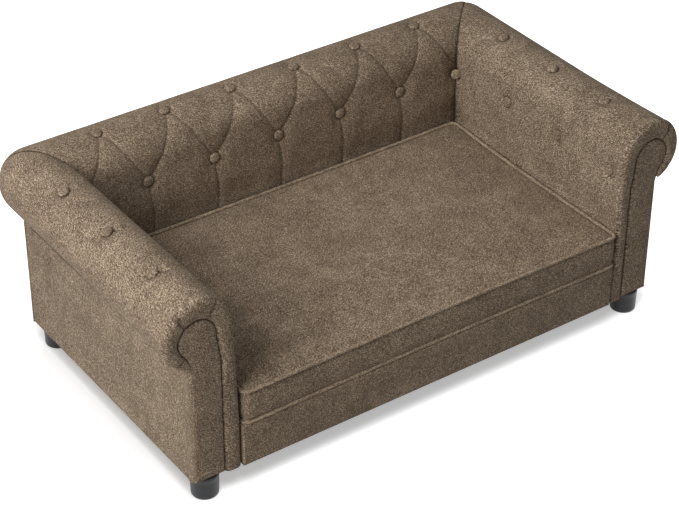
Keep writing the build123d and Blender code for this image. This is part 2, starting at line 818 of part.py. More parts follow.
def cushion_outline(inset, corner):
    """Draw the cushion's plan: sides that draw in between rounded corners, a straight rear."""
    right = cushion_half - inset
    front = cushion_front + inset
    rear = cushion_rear - inset
    middle = (cushion_front + cushion_rear) / 2
    with BuildLine() as plan:
        ThreePointArc((-right, front), (0, front + cushion_draw), (right, front))
        ThreePointArc((right, front), (right - cushion_draw, middle), (right, rear))
        Line((right, rear), (-right, rear))
        ThreePointArc((-right, rear), (cushion_draw - right, middle), (-right, front))
    outline = make_face(plan.edges())
    fillet(outline.vertices(), corner)


def cushion_body(inset):
    """Boxed body with its lofted crown, inset inside the cover's face."""
    seam = welt_top - inset
    with BuildPart() as body:
        with BuildSketch(Plane.XY.offset(cushion_foot + inset)):
            cushion_outline(band_inset + inset, cushion_corner)
        extrude(amount=seam - cushion_foot - inset)
        with BuildSketch(Plane.XY.offset(seam)):
            cushion_outline(band_inset + inset, cushion_corner)
        for reach_share, rise_share in zip(crown_reach_shares, crown_rise_shares):
            with BuildSketch(Plane.XY.offset(seam + crown_rise * rise_share)):
                cushion_outline(crown_reach * reach_share + inset, crown_corner)
        loft()
    return body.part


def cushion_cord(height, gap):
    """Cord sewn round the plan outline at one height, grown by gap."""
    with BuildPart() as cord:
        with BuildSketch(Plane.XY.offset(height), mode=Mode.PRIVATE) as ring:
            cushion_outline(welt_radius, cushion_corner)
        seam_path = ring.sketch.face().outer_wire()
        start = seam_path @ 0
        along = seam_path % 0
        with BuildSketch(Plane(origin=start, z_dir=along)) as section:
            Circle(welt_radius + gap)
        sweep(section.sketch, path=seam_path)
    return cord.part


zip_rear = cushion_rear - band_inset
tape_face = zip_rear - zip_tape_depth
zip_middle = (cushion_top + cushion_foot) / 2
zip_plane = Plane(origin=(0, tape_face, zip_middle), x_dir=(-1, 0, 0), z_dir=(0, 1, 0))

with BuildPart() as cushion_foam:
    add(cushion_body(foam_inset))
finish(cushion_foam, "cushion_foam")

with BuildPart() as cushion_cover:
    add(cushion_body(0))
    add(cushion_body(cloth), mode=Mode.SUBTRACT)
    add(cushion_cord(welt_top, lay_gap), mode=Mode.SUBTRACT)
    add(cushion_cord(welt_foot, lay_gap), mode=Mode.SUBTRACT)
    with BuildSketch(zip_plane.offset(-cloth)):
        Rectangle(zip_length + lay_gap + lay_gap, zip_tape_width + lay_gap + lay_gap)
    extrude(amount=overrun, mode=Mode.SUBTRACT)
finish(cushion_cover, "cushion_cover")

with BuildPart() as cushion_top_cord:
    add(cushion_cord(welt_top, 0))
finish(cushion_top_cord, "cushion_top_cord")

with BuildPart() as cushion_bottom_cord:
    add(cushion_cord(welt_foot, 0))
finish(cushion_bottom_cord, "cushion_bottom_cord")

# Zip on the rear band: tape, coil and end stops, with a slider that hooks round the coil
with BuildPart() as cushion_zip:
    with BuildSketch(zip_plane):
        Rectangle(zip_length, zip_tape_width)
    extrude(amount=-zip_tape)
    with BuildSketch(zip_plane):
        Rectangle(zip_length - zip_stop - zip_stop, zip_chain_width)
    extrude(amount=zip_chain)
    with BuildSketch(zip_plane):
        with Locations(((zip_length - zip_stop) / 2, 0), ((zip_stop - zip_length) / 2, 0)):
            Rectangle(zip_stop, zip_chain_width + slider_flange)
    extrude(amount=zip_chain + slider_plate)
finish(cushion_zip, "cushion_zip")

slider_x = (zip_length - slider_length) / 2 - zip_stop - fit_gap
slider_reach = zip_chain_width / 2 + fit_gap + slider_flange
with BuildPart() as zip_slider:
    with BuildSketch(zip_plane.offset(fit_gap)):
        with Locations((slider_x, 0)):
            Rectangle(slider_length, slider_reach + slider_reach)
            Rectangle(slider_length, zip_chain_width + fit_gap + fit_gap, mode=Mode.SUBTRACT)
    extrude(amount=zip_chain)
    with BuildSketch(zip_plane.offset(zip_chain + fit_gap)):
        with Locations((slider_x, 0)):
            RectangleRounded(slider_length, slider_reach + slider_reach, slider_flange)
    extrude(amount=slider_plate)
    with BuildSketch(zip_plane.offset(zip_chain + fit_gap + slider_plate)):
        with Locations((slider_x - tab_length / 2, 0)):
            SlotOverall(tab_length, tab_width)
        with Locations((slider_x - tab_length + tab_width / 2, 0)):
            Circle(tab_hole, mode=Mode.SUBTRACT)
    extrude(amount=tab_thick)
finish(zip_slider, "zip_slider")
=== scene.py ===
"""A small dog's sofa in brown chenille: rolled arms, a tufted back and a loose boxed cushion.

Sizes are in millimetres until a mesh is made. +X runs along the sofa, +Y to its back and +Z up.
"""

from math import acos, asin, atan2, cos, hypot, pi, sin

import bmesh
import bpy
import numpy as np
from mathutils import Matrix


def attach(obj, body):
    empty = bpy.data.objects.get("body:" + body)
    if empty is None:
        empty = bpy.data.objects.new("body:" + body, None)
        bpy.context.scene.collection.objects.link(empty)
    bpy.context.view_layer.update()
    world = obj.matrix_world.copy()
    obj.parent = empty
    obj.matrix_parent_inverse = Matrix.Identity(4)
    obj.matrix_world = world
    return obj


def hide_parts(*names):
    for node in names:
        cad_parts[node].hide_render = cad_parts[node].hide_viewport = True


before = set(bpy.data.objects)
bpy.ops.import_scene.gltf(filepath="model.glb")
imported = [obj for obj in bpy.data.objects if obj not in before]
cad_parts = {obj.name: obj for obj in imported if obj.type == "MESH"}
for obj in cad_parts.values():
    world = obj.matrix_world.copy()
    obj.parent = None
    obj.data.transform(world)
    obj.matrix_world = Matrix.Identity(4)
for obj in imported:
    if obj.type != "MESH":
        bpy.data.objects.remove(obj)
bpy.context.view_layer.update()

# Camera: the photograph is a raised three-quarter view from the front left with a long lens,
# so the three columns are the camera's right, up and back directions.
camera_data = bpy.data.cameras.new("front_left_view")
camera_data.sensor_fit = "HORIZONTAL"
camera_data.sensor_width = 36
camera_data.lens = 111.143
camera_data.clip_end = 60
camera = bpy.data.objects.new("front_left_view", camera_data)
camera.matrix_world = Matrix(
    (
        (0.81923695, 0.32307914, -0.47378338, -1.69309),
        (-0.57344702, 0.46594759, -0.67383333, -2.41797),
        (0.00305673, 0.82371883, 0.56699025, 2.16834),
        (0, 0, 0, 1),
    )
)
bpy.context.scene.collection.objects.link(camera)
bpy.context.scene.camera = camera
bpy.context.scene.view_settings.view_transform = "Standard"


# Studio: a white paper floor that runs out of sight, and a white room round it. The paper adds
# some of its own light for the camera and shows it a paler tone than it throws back. Close round
# the sofa that light is weak, so the paper takes the shadow there; further off it paints the
# shadow out.
def linear(code, strength=1):
    """Linear colour of an sRGB hex code: each channel over 255, then the sRGB curve undone."""
    channels = np.array([int(code[place : place + 2], 16) for place in (1, 3, 5)]) / 255
    undone = np.where(channels <= 0.04045, channels / 12.92, ((channels + 0.055) / 1.055) ** 2.4)
    return (*(undone * strength), 1)


def add_node(tree, kind, settings=(), inputs=()):
    """Add one node, set its own settings, then give each named input a value or a link."""
    added = tree.nodes.new(kind)
    for name, value in dict(settings).items():
        setattr(added, name, value)
    for name, value in dict(inputs).items():
        if isinstance(value, bpy.types.NodeSocket):
            tree.links.new(value, added.inputs[name])
        else:
            added.inputs[name].default_value = value
    return added


def blank_material(name):
    """New material with an empty tree of nodes, and that tree."""
    material = bpy.data.materials.new(name)
    material.use_nodes = True
    material.node_tree.nodes.clear()
    return material, material.node_tree


def seen_directly(tree):
    """Share of light paths that come straight, mirrored or through glass from the camera."""
    path = add_node(tree, "ShaderNodeLightPath")
    either = add_node(
        tree,
        "ShaderNodeMath",
        {"operation": "MAXIMUM"},
        {0: path.outputs["Is Glossy Ray"], 1: path.outputs["Is Transmission Ray"]},
    )
    return add_node(
        tree,
        "ShaderNodeMath",
        {"operation": "MAXIMUM"},
        {0: path.outputs["Is Camera Ray"], 1: either.outputs[0]},
    ).outputs[0]


floor_mesh = bpy.data.meshes.new("paper_floor")
floor_mesh.from_pydata([(-9, -9, 0), (9, -9, 0), (9, 9, 0), (-9, 9, 0)], [], [(0, 1, 2, 3)])
floor = bpy.data.objects.new("paper_floor", floor_mesh)
bpy.context.scene.collection.objects.link(floor)
paper, paper_tree = blank_material("white_background_paper")
paper_seen = seen_directly(paper_tree)
paper_colour = add_node(
    paper_tree,
    "ShaderNodeMix",
    {"data_type": "RGBA"},
    {0: paper_seen, 6: linear("#b8b8b8"), 7: linear("#f2f2f2")},
)
paper_diffuse = add_node(
    paper_tree,
    "ShaderNodeBsdfDiffuse",
    {},
    {"Color": paper_colour.outputs[2], "Roughness": 0.5},
)
paper_away = add_node(
    paper_tree,
    "ShaderNodeVectorMath",
    {"operation": "DISTANCE"},
    {0: add_node(paper_tree, "ShaderNodeTexCoord").outputs["Object"], 1: (-0.08, -0.16, 0)},
)
# The paper's own light is weak within about half a metre of a point near the sofa's middle, so the
# shadow shows there, and full further off, which paints out the sofa's shadow.
paper_glow_away = add_node(
    paper_tree,
    "ShaderNodeMapRange",
    {},
    {
        "Value": paper_away.outputs["Value"],
        "From Min": 0.53,
        "From Max": 0.62,
        "To Min": 0.4,
        "To Max": 1.0,
    },
)
paper_lift = add_node(
    paper_tree,
    "ShaderNodeMath",
    {"operation": "MULTIPLY"},
    {0: paper_seen, 1: paper_glow_away.outputs[0]},
)
paper_glow = add_node(
    paper_tree,
    "ShaderNodeEmission",
    {},
    {"Color": (1, 1, 1, 1), "Strength": paper_lift.outputs[0]},
)
paper_sum = add_node(
    paper_tree,
    "ShaderNodeAddShader",
    {},
    {0: paper_diffuse.outputs[0], 1: paper_glow.outputs[0]},
)
add_node(paper_tree, "ShaderNodeOutputMaterial", {}, {"Surface": paper_sum.outputs[0]})
floor_mesh.materials.append(paper)

room = bpy.data.worlds.new("white_room")
bpy.context.scene.world = room
room.use_nodes = True
room_tree = room.node_tree
room_tree.nodes.clear()
room_light = add_node(
    room_tree,
    "ShaderNodeMix",
    {"data_type": "FLOAT"},
    {0: seen_directly(room_tree), 2: 0.24, 3: 1.0},
)
room_back = add_node(
    room_tree,
    "ShaderNodeBackground",
    {},
    {"Color": (1, 1, 1, 1), "Strength": room_light.outputs[0]},
)
add_node(room_tree, "ShaderNodeOutputWorld", {}, {"Surface": room_back.outputs[0]})

# Lamps: a broad soft box high on the left and a weaker one overhead light the sofa. The paper
# has a small soft box of its own, so that the shadow lies close round the base.
all_but_floor = bpy.data.collections.new("all_but_floor")
all_but_floor.objects.link(floor)
all_but_floor.collection_objects[0].light_linking.link_state = "EXCLUDE"
floor_alone = bpy.data.collections.new("floor_alone")
floor_alone.objects.link(floor)
for lamp_name, lamp_place, lamp_size, lamp_power, receivers in (
    ("left_soft_box", (-2.6, -0.7, 2.3), 2.0, 108, all_but_floor),
    ("overhead_soft_box", (-1.2, 0.3, 3.0), 1.5, 7, all_but_floor),
    ("floor_soft_box", (-0.95, -1.05, 3.0), 1.6, 76, floor_alone),
):
    lamp_data = bpy.data.lights.new(lamp_name, "AREA")
    lamp_data.size = lamp_size
    lamp_data.energy = lamp_power
    lamp = bpy.data.objects.new(lamp_name, lamp_data)
    aim = -np.array(lamp_place) + np.array((0, 0, 0.15))
    back = -aim / np.linalg.norm(aim)
    side = np.cross((0, 0, 1), back)
    side /= np.linalg.norm(side)
    rise = np.cross(back, side)
    lamp.matrix_world = Matrix(
        [(*row, place) for row, place in zip(np.column_stack((side, rise, back)), lamp_place)]
        + [(0, 0, 0, 1)]
    )
    lamp.light_linking.receiver_collection = receivers
    bpy.context.scene.collection.objects.link(lamp)


# Upholstered arms: foam bent over a roll and pulled in under three crest and three face
# buttons, in woven chenille. The front end is a padded band sewn round the facing panel, and
# its cloth is gathered in small pleats where it turns round the scroll.
roll_radius = 59
roll_height = 321
arm_axis = 441
back_axis = 229
arm_front = -285
seat_height = 120
underside = 42
wall_run = 66
padding = 17
arm_bend = 160
arm_beyond = back_axis - arm_bend
lean = pi / 2 - atan2(roll_height - seat_height, wall_run)
lean -= asin(roll_radius / hypot(roll_height - seat_height, wall_run))
wall_start = roll_radius * (pi / 2 - lean)


def wall_travel(height):
    """Travel from the crest down to a height on the leaning wall, which starts on the roll."""
    return wall_start + (roll_height + roll_radius * sin(lean) - height) / cos(lean)


wall_stop = wall_travel(seat_height)
foot_travel = wall_stop + seat_height - underside
facing_outer = 23
tuck_travel = -roll_radius * (pi / 2 + acos(facing_outer / roll_radius))
dimple_flat = 8
rim_radius = 10.6


def scroll(travel):
    """Roll and wall as (across, height, normal across, normal height) by travel from the crest.

    Travel to the seat is above nought. It turns about the roll's axis, then runs down the
    leaning wall, then straight down below the seat. Travel below nought goes round outside.
    """
    turn = np.clip(travel / roll_radius, -pi, pi / 2 - lean)
    drop = np.clip(travel - wall_start, 0, wall_stop - wall_start)
    low = np.clip(travel - wall_stop, 0, None)
    out_across = np.where(low > 0, -1.0, -np.sin(turn))
    out_up = np.where(low > 0, 0.0, np.cos(turn))
    across = -roll_radius * np.sin(turn) - drop * sin(lean)
    height = roll_height + roll_radius * np.cos(turn) - drop * cos(lean) - low
    return across, height, out_across, out_up


def dimple(distance, depth, spread):
    """Pull of a button on the cloth: level under the button, then falling off with distance."""
    return depth * np.exp(-((np.maximum(distance - dimple_flat, 0) / spread) ** 1.3))


def rim(distance, strength):
    """Ring round a button, by distance from its middle: painted shade where the cloth turns down
    round it, or the depth of a groove.
    """
    return strength * np.exp(-(((distance - rim_radius) / 1.5) ** 2))


def put_shell(name, points, uv, material, shade_marks=0.0, ends=True, ring=False):
    """Closed mesh from rows of loops: quads between rows, and a flat face over each end.

    The uv array holds one more column than the loops, so that the pattern doesn't run back
    across the face that closes a loop. Painted shade is given as one number for each point, or
    one for all, by which a cloth is darkened where shade falls in its creases, seams and rims.
    Ring joins the last row to the first instead of ends.
    """
    rows, columns = points.shape[:2]
    index = np.arange(rows * columns).reshape(rows, columns)
    beside = np.roll(index, -1, axis=1)
    above = np.roll(index, -1, axis=0)
    above_beside = np.roll(beside, -1, axis=0)
    quads = np.stack((index, beside, above_beside, above), axis=-1)
    place = np.arange(columns)
    if not ring:
        quads = quads[:-1]
    count = quads.shape[0]
    corner_rows = (np.arange(count)[:, None, None] + np.array((0, 0, 1, 1))) % uv.shape[0]
    corner_columns = place[None, :, None] + np.array((0, 1, 1, 0))
    corner_uv = uv[
        np.broadcast_to(corner_rows, (count, columns, 4)),
        np.broadcast_to(corner_columns, (count, columns, 4)),
    ].reshape(-1, 2)
    corners = quads.reshape(-1)
    starts = np.arange(0, len(corners), 4)
    if ends:
        starts = np.append(starts, (len(corners), len(corners) + columns))
        corners = np.concatenate((corners, index[0][::-1], index[-1]))
        corner_uv = np.concatenate((corner_uv, uv[0, :-1][::-1], uv[-1, :-1]))
    mesh = bpy.data.meshes.new(name)
    mesh.vertices.add(rows * columns)
    mesh.vertices.foreach_set("co", (points.reshape(-1) * 0.001).astype(np.float32))
    mesh.loops.add(len(corners))
    mesh.loops.foreach_set("vertex_index", corners.astype(np.int32))
    mesh.polygons.add(len(starts))
    mesh.polygons.foreach_set("loop_start", starts.astype(np.int32))
    mesh.update(calc_edges=True)
    layer = mesh.uv_layers.new(name="weave")
    layer.data.foreach_set("uv", (corner_uv.reshape(-1) * 0.001).astype(np.float32))
    mesh.polygons.foreach_set("use_smooth", np.ones(len(starts), bool))
    work = bmesh.new()
    work.from_mesh(mesh)
    bmesh.ops.recalc_face_normals(work, faces=work.faces)
    work.to_mesh(mesh)
    work.free()
    marks = np.broadcast_to(shade_marks, (rows, columns)).reshape(-1).astype(np.float32)
    mesh.attributes.new("painted_shade", "FLOAT", "POINT").data.foreach_set("value", marks)
    mesh.materials.append(material)
    piece = bpy.data.objects.new(name, mesh)
    bpy.context.scene.collection.objects.link(piece)
    return piece


def chenille(name, coordinates, shade_marks=False, highlight_lift=0.0, nap_and_glint=1.0):
    """Woven chenille: slubs that lie along one thread or the other in turn, with fuzz on them.

    A chessboard of two sines picks the thread on top, as in a plain weave. Each slub is the
    noise less the same noise a step aside, so it has a painted lit edge and a painted dark edge.
    The nap setting raises the slubs' bump and their painted edges; the copy for the lit arms and
    sides has more of it, which paints the glint of a lit pile. Lifting the whole cloth towards
    its light tone paints a highlight. The real threads are 1.5 mm apart. They are drawn 3.4 mm
    apart, which is as fine as the render shows. The pile breaks the light up, so there is a
    little sheen and hardly any gloss. Each stretch is a metre over the size of a slub, a tuft
    or a cloud.
    """
    thread_gap = 3.4
    thread_turns = round(1000 * pi / thread_gap)
    cloth, tree = blank_material(name)
    place = add_node(tree, "ShaderNodeTexCoord").outputs[coordinates]

    def cloudy(stretch, shift, detail):
        scaled = add_node(
            tree,
            "ShaderNodeMapping",
            {},
            {"Vector": place, "Scale": stretch, "Location": shift},
        )
        return add_node(
            tree,
            "ShaderNodeTexNoise",
            {},
            {"Vector": scaled.outputs[0], "Scale": 1.0, "Detail": detail, "Roughness": 0.6},
        ).outputs["Fac"]

    axes = add_node(tree, "ShaderNodeSeparateXYZ", {}, {0: place})
    wander = add_node(
        tree,
        "ShaderNodeMath",
        {"operation": "MULTIPLY"},
        {0: cloudy((70, 70, 70), (5, 5, 5), 1.0), 1: 3.0},
    )
    waves = []
    for axis in (0, 1):
        slanted = add_node(
            tree,
            "ShaderNodeMath",
            {"operation": "ADD"},
            {0: axes.outputs[axis], 1: axes.outputs[2]},
        )
        turned = add_node(
            tree,
            "ShaderNodeMath",
            {"operation": "MULTIPLY_ADD"},
            {0: slanted.outputs[0], 1: thread_turns, 2: wander.outputs[0]},
        )
        wave = add_node(tree, "ShaderNodeMath", {"operation": "SINE"}, {0: turned.outputs[0]})
        waves.append(wave.outputs[0])
    board = add_node(
        tree, "ShaderNodeMath", {"operation": "MULTIPLY"}, {0: waves[0], 1: waves[1]}
    )
    on_top = add_node(
        tree,
        "ShaderNodeMath",
        {"operation": "MULTIPLY_ADD"},
        {0: board.outputs[0], 1: 0.5, 2: 0.5},
    )
    slubs = []
    for stretch, lit_shift, dark_shift in (
        ((330, 600, 540), (3, 3, 3), (3.4, 2.4, 3.5)),
        ((600, 330, 540), (7, 7, 7), (7.6, 6.6, 7.5)),
    ):
        slub = add_node(
            tree,
            "ShaderNodeMath",
            {"operation": "SUBTRACT"},
            {0: cloudy(stretch, lit_shift, 1.0), 1: cloudy(stretch, dark_shift, 1.0)},
        )
        slubs.append(slub.outputs[0])
    woven = add_node(
        tree,
        "ShaderNodeMix",
        {"data_type": "FLOAT"},
        {0: on_top.outputs[0], 2: slubs[0], 3: slubs[1]},
    )
    raised = add_node(
        tree, "ShaderNodeMath", {"operation": "MULTIPLY"}, {0: woven.outputs[0], 1: nap_and_glint}
    )
    sums = [raised.outputs[0]]
    for stretch, shift, detail, amount in (
        ((640, 640, 640), (8, 8, 8), 0.0, 0.3),
        ((34, 30, 32), (12, 12, 12), 3.0, 0.22),
        ((9, 11, 10), (18, 18, 18), 3.0, 0.2),
    ):
        total = add_node(
            tree,
            "ShaderNodeMath",
            {"operation": "MULTIPLY_ADD"},
            {0: cloudy(stretch, shift, detail), 1: amount, 2: sums[-1]},
        )
        sums.append(total.outputs[0])
    fuzz, shade = sums[1], sums[-1]
    spread = add_node(
        tree,
        "ShaderNodeMapRange",
        {},
        {"Value": shade, "From Min": 0.03 - highlight_lift, "From Max": 0.675 - highlight_lift},
    ).outputs[0]
    ramp = add_node(tree, "ShaderNodeValToRGB", {}, {"Fac": spread})
    ramp.color_ramp.elements[0].color = linear("#3c2f26")
    ramp.color_ramp.elements[1].color = linear("#c6b39a")
    middle = ramp.color_ramp.elements.new(0.5)
    middle.color = linear("#796857")
    colour = ramp.outputs["Color"]
    # Painted shade: each point's mark darkens the cloth towards a deep brown, as shade in creases,
    # notches, button rims and under the roll.
    if shade_marks:
        crease = add_node(tree, "ShaderNodeAttribute", {"attribute_name": "painted_shade"}).outputs["Fac"]
        colour = add_node(
            tree,
            "ShaderNodeMix",
            {"data_type": "RGBA"},
            {0: crease, 6: colour, 7: linear("#2e261f")},
        ).outputs[2]
    bump = add_node(
        tree, "ShaderNodeBump", {}, {"Height": fuzz, "Strength": 0.5, "Distance": 0.0008}
    )
    surface = add_node(
        tree,
        "ShaderNodeBsdfPrincipled",
        {},
        {
            "Base Color": colour,
            "Roughness": 0.92,
            "Specular IOR Level": 0.12,
            "Sheen Weight": 0.08,
            "Sheen Roughness": 0.55,
            "Sheen Tint": linear("#d8c9b4"),
            "Normal": bump.outputs[0],
        },
    )
    add_node(tree, "ShaderNodeOutputMaterial", {}, {"Surface": surface.outputs[0]})
    return cloth


sewn_cloth = chenille("woven_chenille_brown", "UV", shade_marks=True)
# A copy with stronger slubs for the arms and outer sides: more bump, and stronger painted slub
# edges that paint the glint of their lit pile.
nap_and_glint_cloth = chenille("woven_chenille_brown_nap_and_painted_glint", "UV", shade_marks=True, nap_and_glint=1.2)
loose_cloth = chenille("woven_chenille_brown_on_object", "Object")
# The piping's cloth is lifted towards the light tone, which paints the highlight along the cord.
bias_cloth = chenille("woven_chenille_brown_cut_on_bias", "UV", highlight_lift=0.06)

eye = np.array((4.3, -6.5))
eye_radius = 33.3
facing_foot = -35.2
facing_ease = 70
facing_tail = 26


def facing_edge(travel):
    """Edge of the facing panel beside each place of the cover's edge, as (across, height).

    Round the roll it is a smaller circle about the eye. Down the wall it eases outwards to a
    straight line, and at the tail it runs in to the cover's own edge.
    """
    across, height, out_across, out_up = scroll(travel)
    round_across = eye[0] + eye_radius * out_across
    round_height = roll_height + eye[1] + eye_radius * out_up
    down = np.clip((travel - wall_start) / facing_ease, 0, 1)
    ease = down * down * (3 - 2 * down)
    on_wall = travel > wall_start
    start_lag = roll_height + roll_radius * sin(lean) - (
        roll_height + eye[1] + eye_radius * sin(lean)
    )
    wall_across = (eye[0] - eye_radius * cos(lean)) * (1 - ease) + facing_foot * ease
    wall_height = height - start_lag * (1 - ease)
    edge_across = np.where(on_wall, wall_across, round_across)
    edge_height = np.where(on_wall, wall_height, round_height)
    tail = np.clip((travel - tuck_travel) / facing_tail, 0, 1)
    narrow = 0.2 + 0.8 * np.sqrt(1 - (1 - tail) ** 2)
    edge_across = across + (edge_across - across) * narrow
    edge_height = height + (edge_height - height) * narrow
    return edge_across, edge_height


def join_loop(outer, inner, steps):
    """Close a section: the outer edge, straight steps to the inner edge, and back along it."""
    share = np.linspace(0, 1, steps + 2)[1:-1].reshape(1, -1, 1)
    first = outer[:, -1:] * (1 - share) + inner[:, :1] * share
    last = inner[:, -1:] * (1 - share) + outer[:, :1] * share
    return np.concatenate((outer, first, inner, last), axis=1)


fine_from, fine_to = -60, 150
arm_travel = np.concatenate(
    (
        np.linspace(tuck_travel, fine_from, 54, endpoint=False),
        np.linspace(fine_from, fine_to, 136, endpoint=False),
        np.linspace(fine_to, foot_travel, 90),
    )
)
inner_travel = np.linspace(foot_travel, tuck_travel, 24)
arm_straight = np.linspace(arm_bend, arm_front + padding, 200)
corner_steps = np.linspace(1, 0, 44, endpoint=False)
nose_turns = np.linspace(0, 1, 10)[1:, None] * pi / 2
tucked_depths = np.array(((11.0,), (15.0,)))
crest_rows = (100, -36, -172)
crest_travel = {-1: -15, 1: 11}
puff_aside = 22
puff_radius = 7
puff_rise = 3.8
face_rows = (27, -109, -245)
face_crease_strengths = (0.8, 0.9, 0.4)
face_crease_radius = 11.5
face_travel = wall_travel(292)
corner_travel = wall_travel(284)
swell_start = -60
swell_reach = 60
swell_rise = 6.0
dent_height = 125
dent_ease = 56
dent_below = 7
left_dent, right_dent = 5, 7
arm_pleats = {-1: ((0.53, 3.0), (-0.70, 3.4), (-2.38, 3.0)), 1: ((-0.72, 3.2), (-2.2, 2.0))}


def pressed(travel, depth):
    """Dent that the cushion makes in the wall beside it: level there, eased out past its edges."""
    above = np.clip((travel - (wall_stop - dent_height)) / dent_ease, 0, 1)
    below = np.clip((wall_stop + dent_below - travel) / dent_below, 0, 1)
    return depth * above * above * (3 - 2 * above) * below * below * (3 - 2 * below)


def swing_round(axis_along, across, run, straight):
    """Place along a row that swings round the corner past its straight part.

    Within the straight part it moves in line. Beyond it, only the outer half of the roll goes
    on, along a circle of its own distance from the corner's upright line.
    """
    past = np.where(across > 0, np.clip((run - straight) / np.maximum(across, 1e-6), 0, pi / 4), 0)
    sideways = across * np.cos(past)
    forward = np.where(past > 0, axis_along + across * np.sin(past), axis_along - straight + run)
    return sideways, forward


def row_length(across, beyond):
    """Length of a row past its bend up to the mitre, with an eighth of a turn on the outside."""
    return beyond + np.where(across < 0, across, across * pi / 4)


def mitre_seam(travel, to_mitre):
    """Sink of the mitre, the shared button's dimple, a notch and a broad hollow, and its mark: a
    thin line of painted shade along the seam.

    The notch fades out on the outside of the roll, and the hollow is on the inside alone.
    """
    seam_share = np.clip((travel + 75) / 45, 0, 1)
    inner_share = np.clip((travel - 5) / 60, 0, 1)
    sink = dimple(np.hypot(to_mitre * 1.2, travel - corner_travel), 4.5, 10.0)
    sink += (0.5 + inner_share) * seam_share * 1.4 * np.exp(-((to_mitre / 3.0) ** 2))
    sink += inner_share * 3.2 * np.exp(-((to_mitre / 17.0) ** 2))
    return sink, seam_share * 0.8 * np.exp(-((to_mitre / 1.5) ** 2))


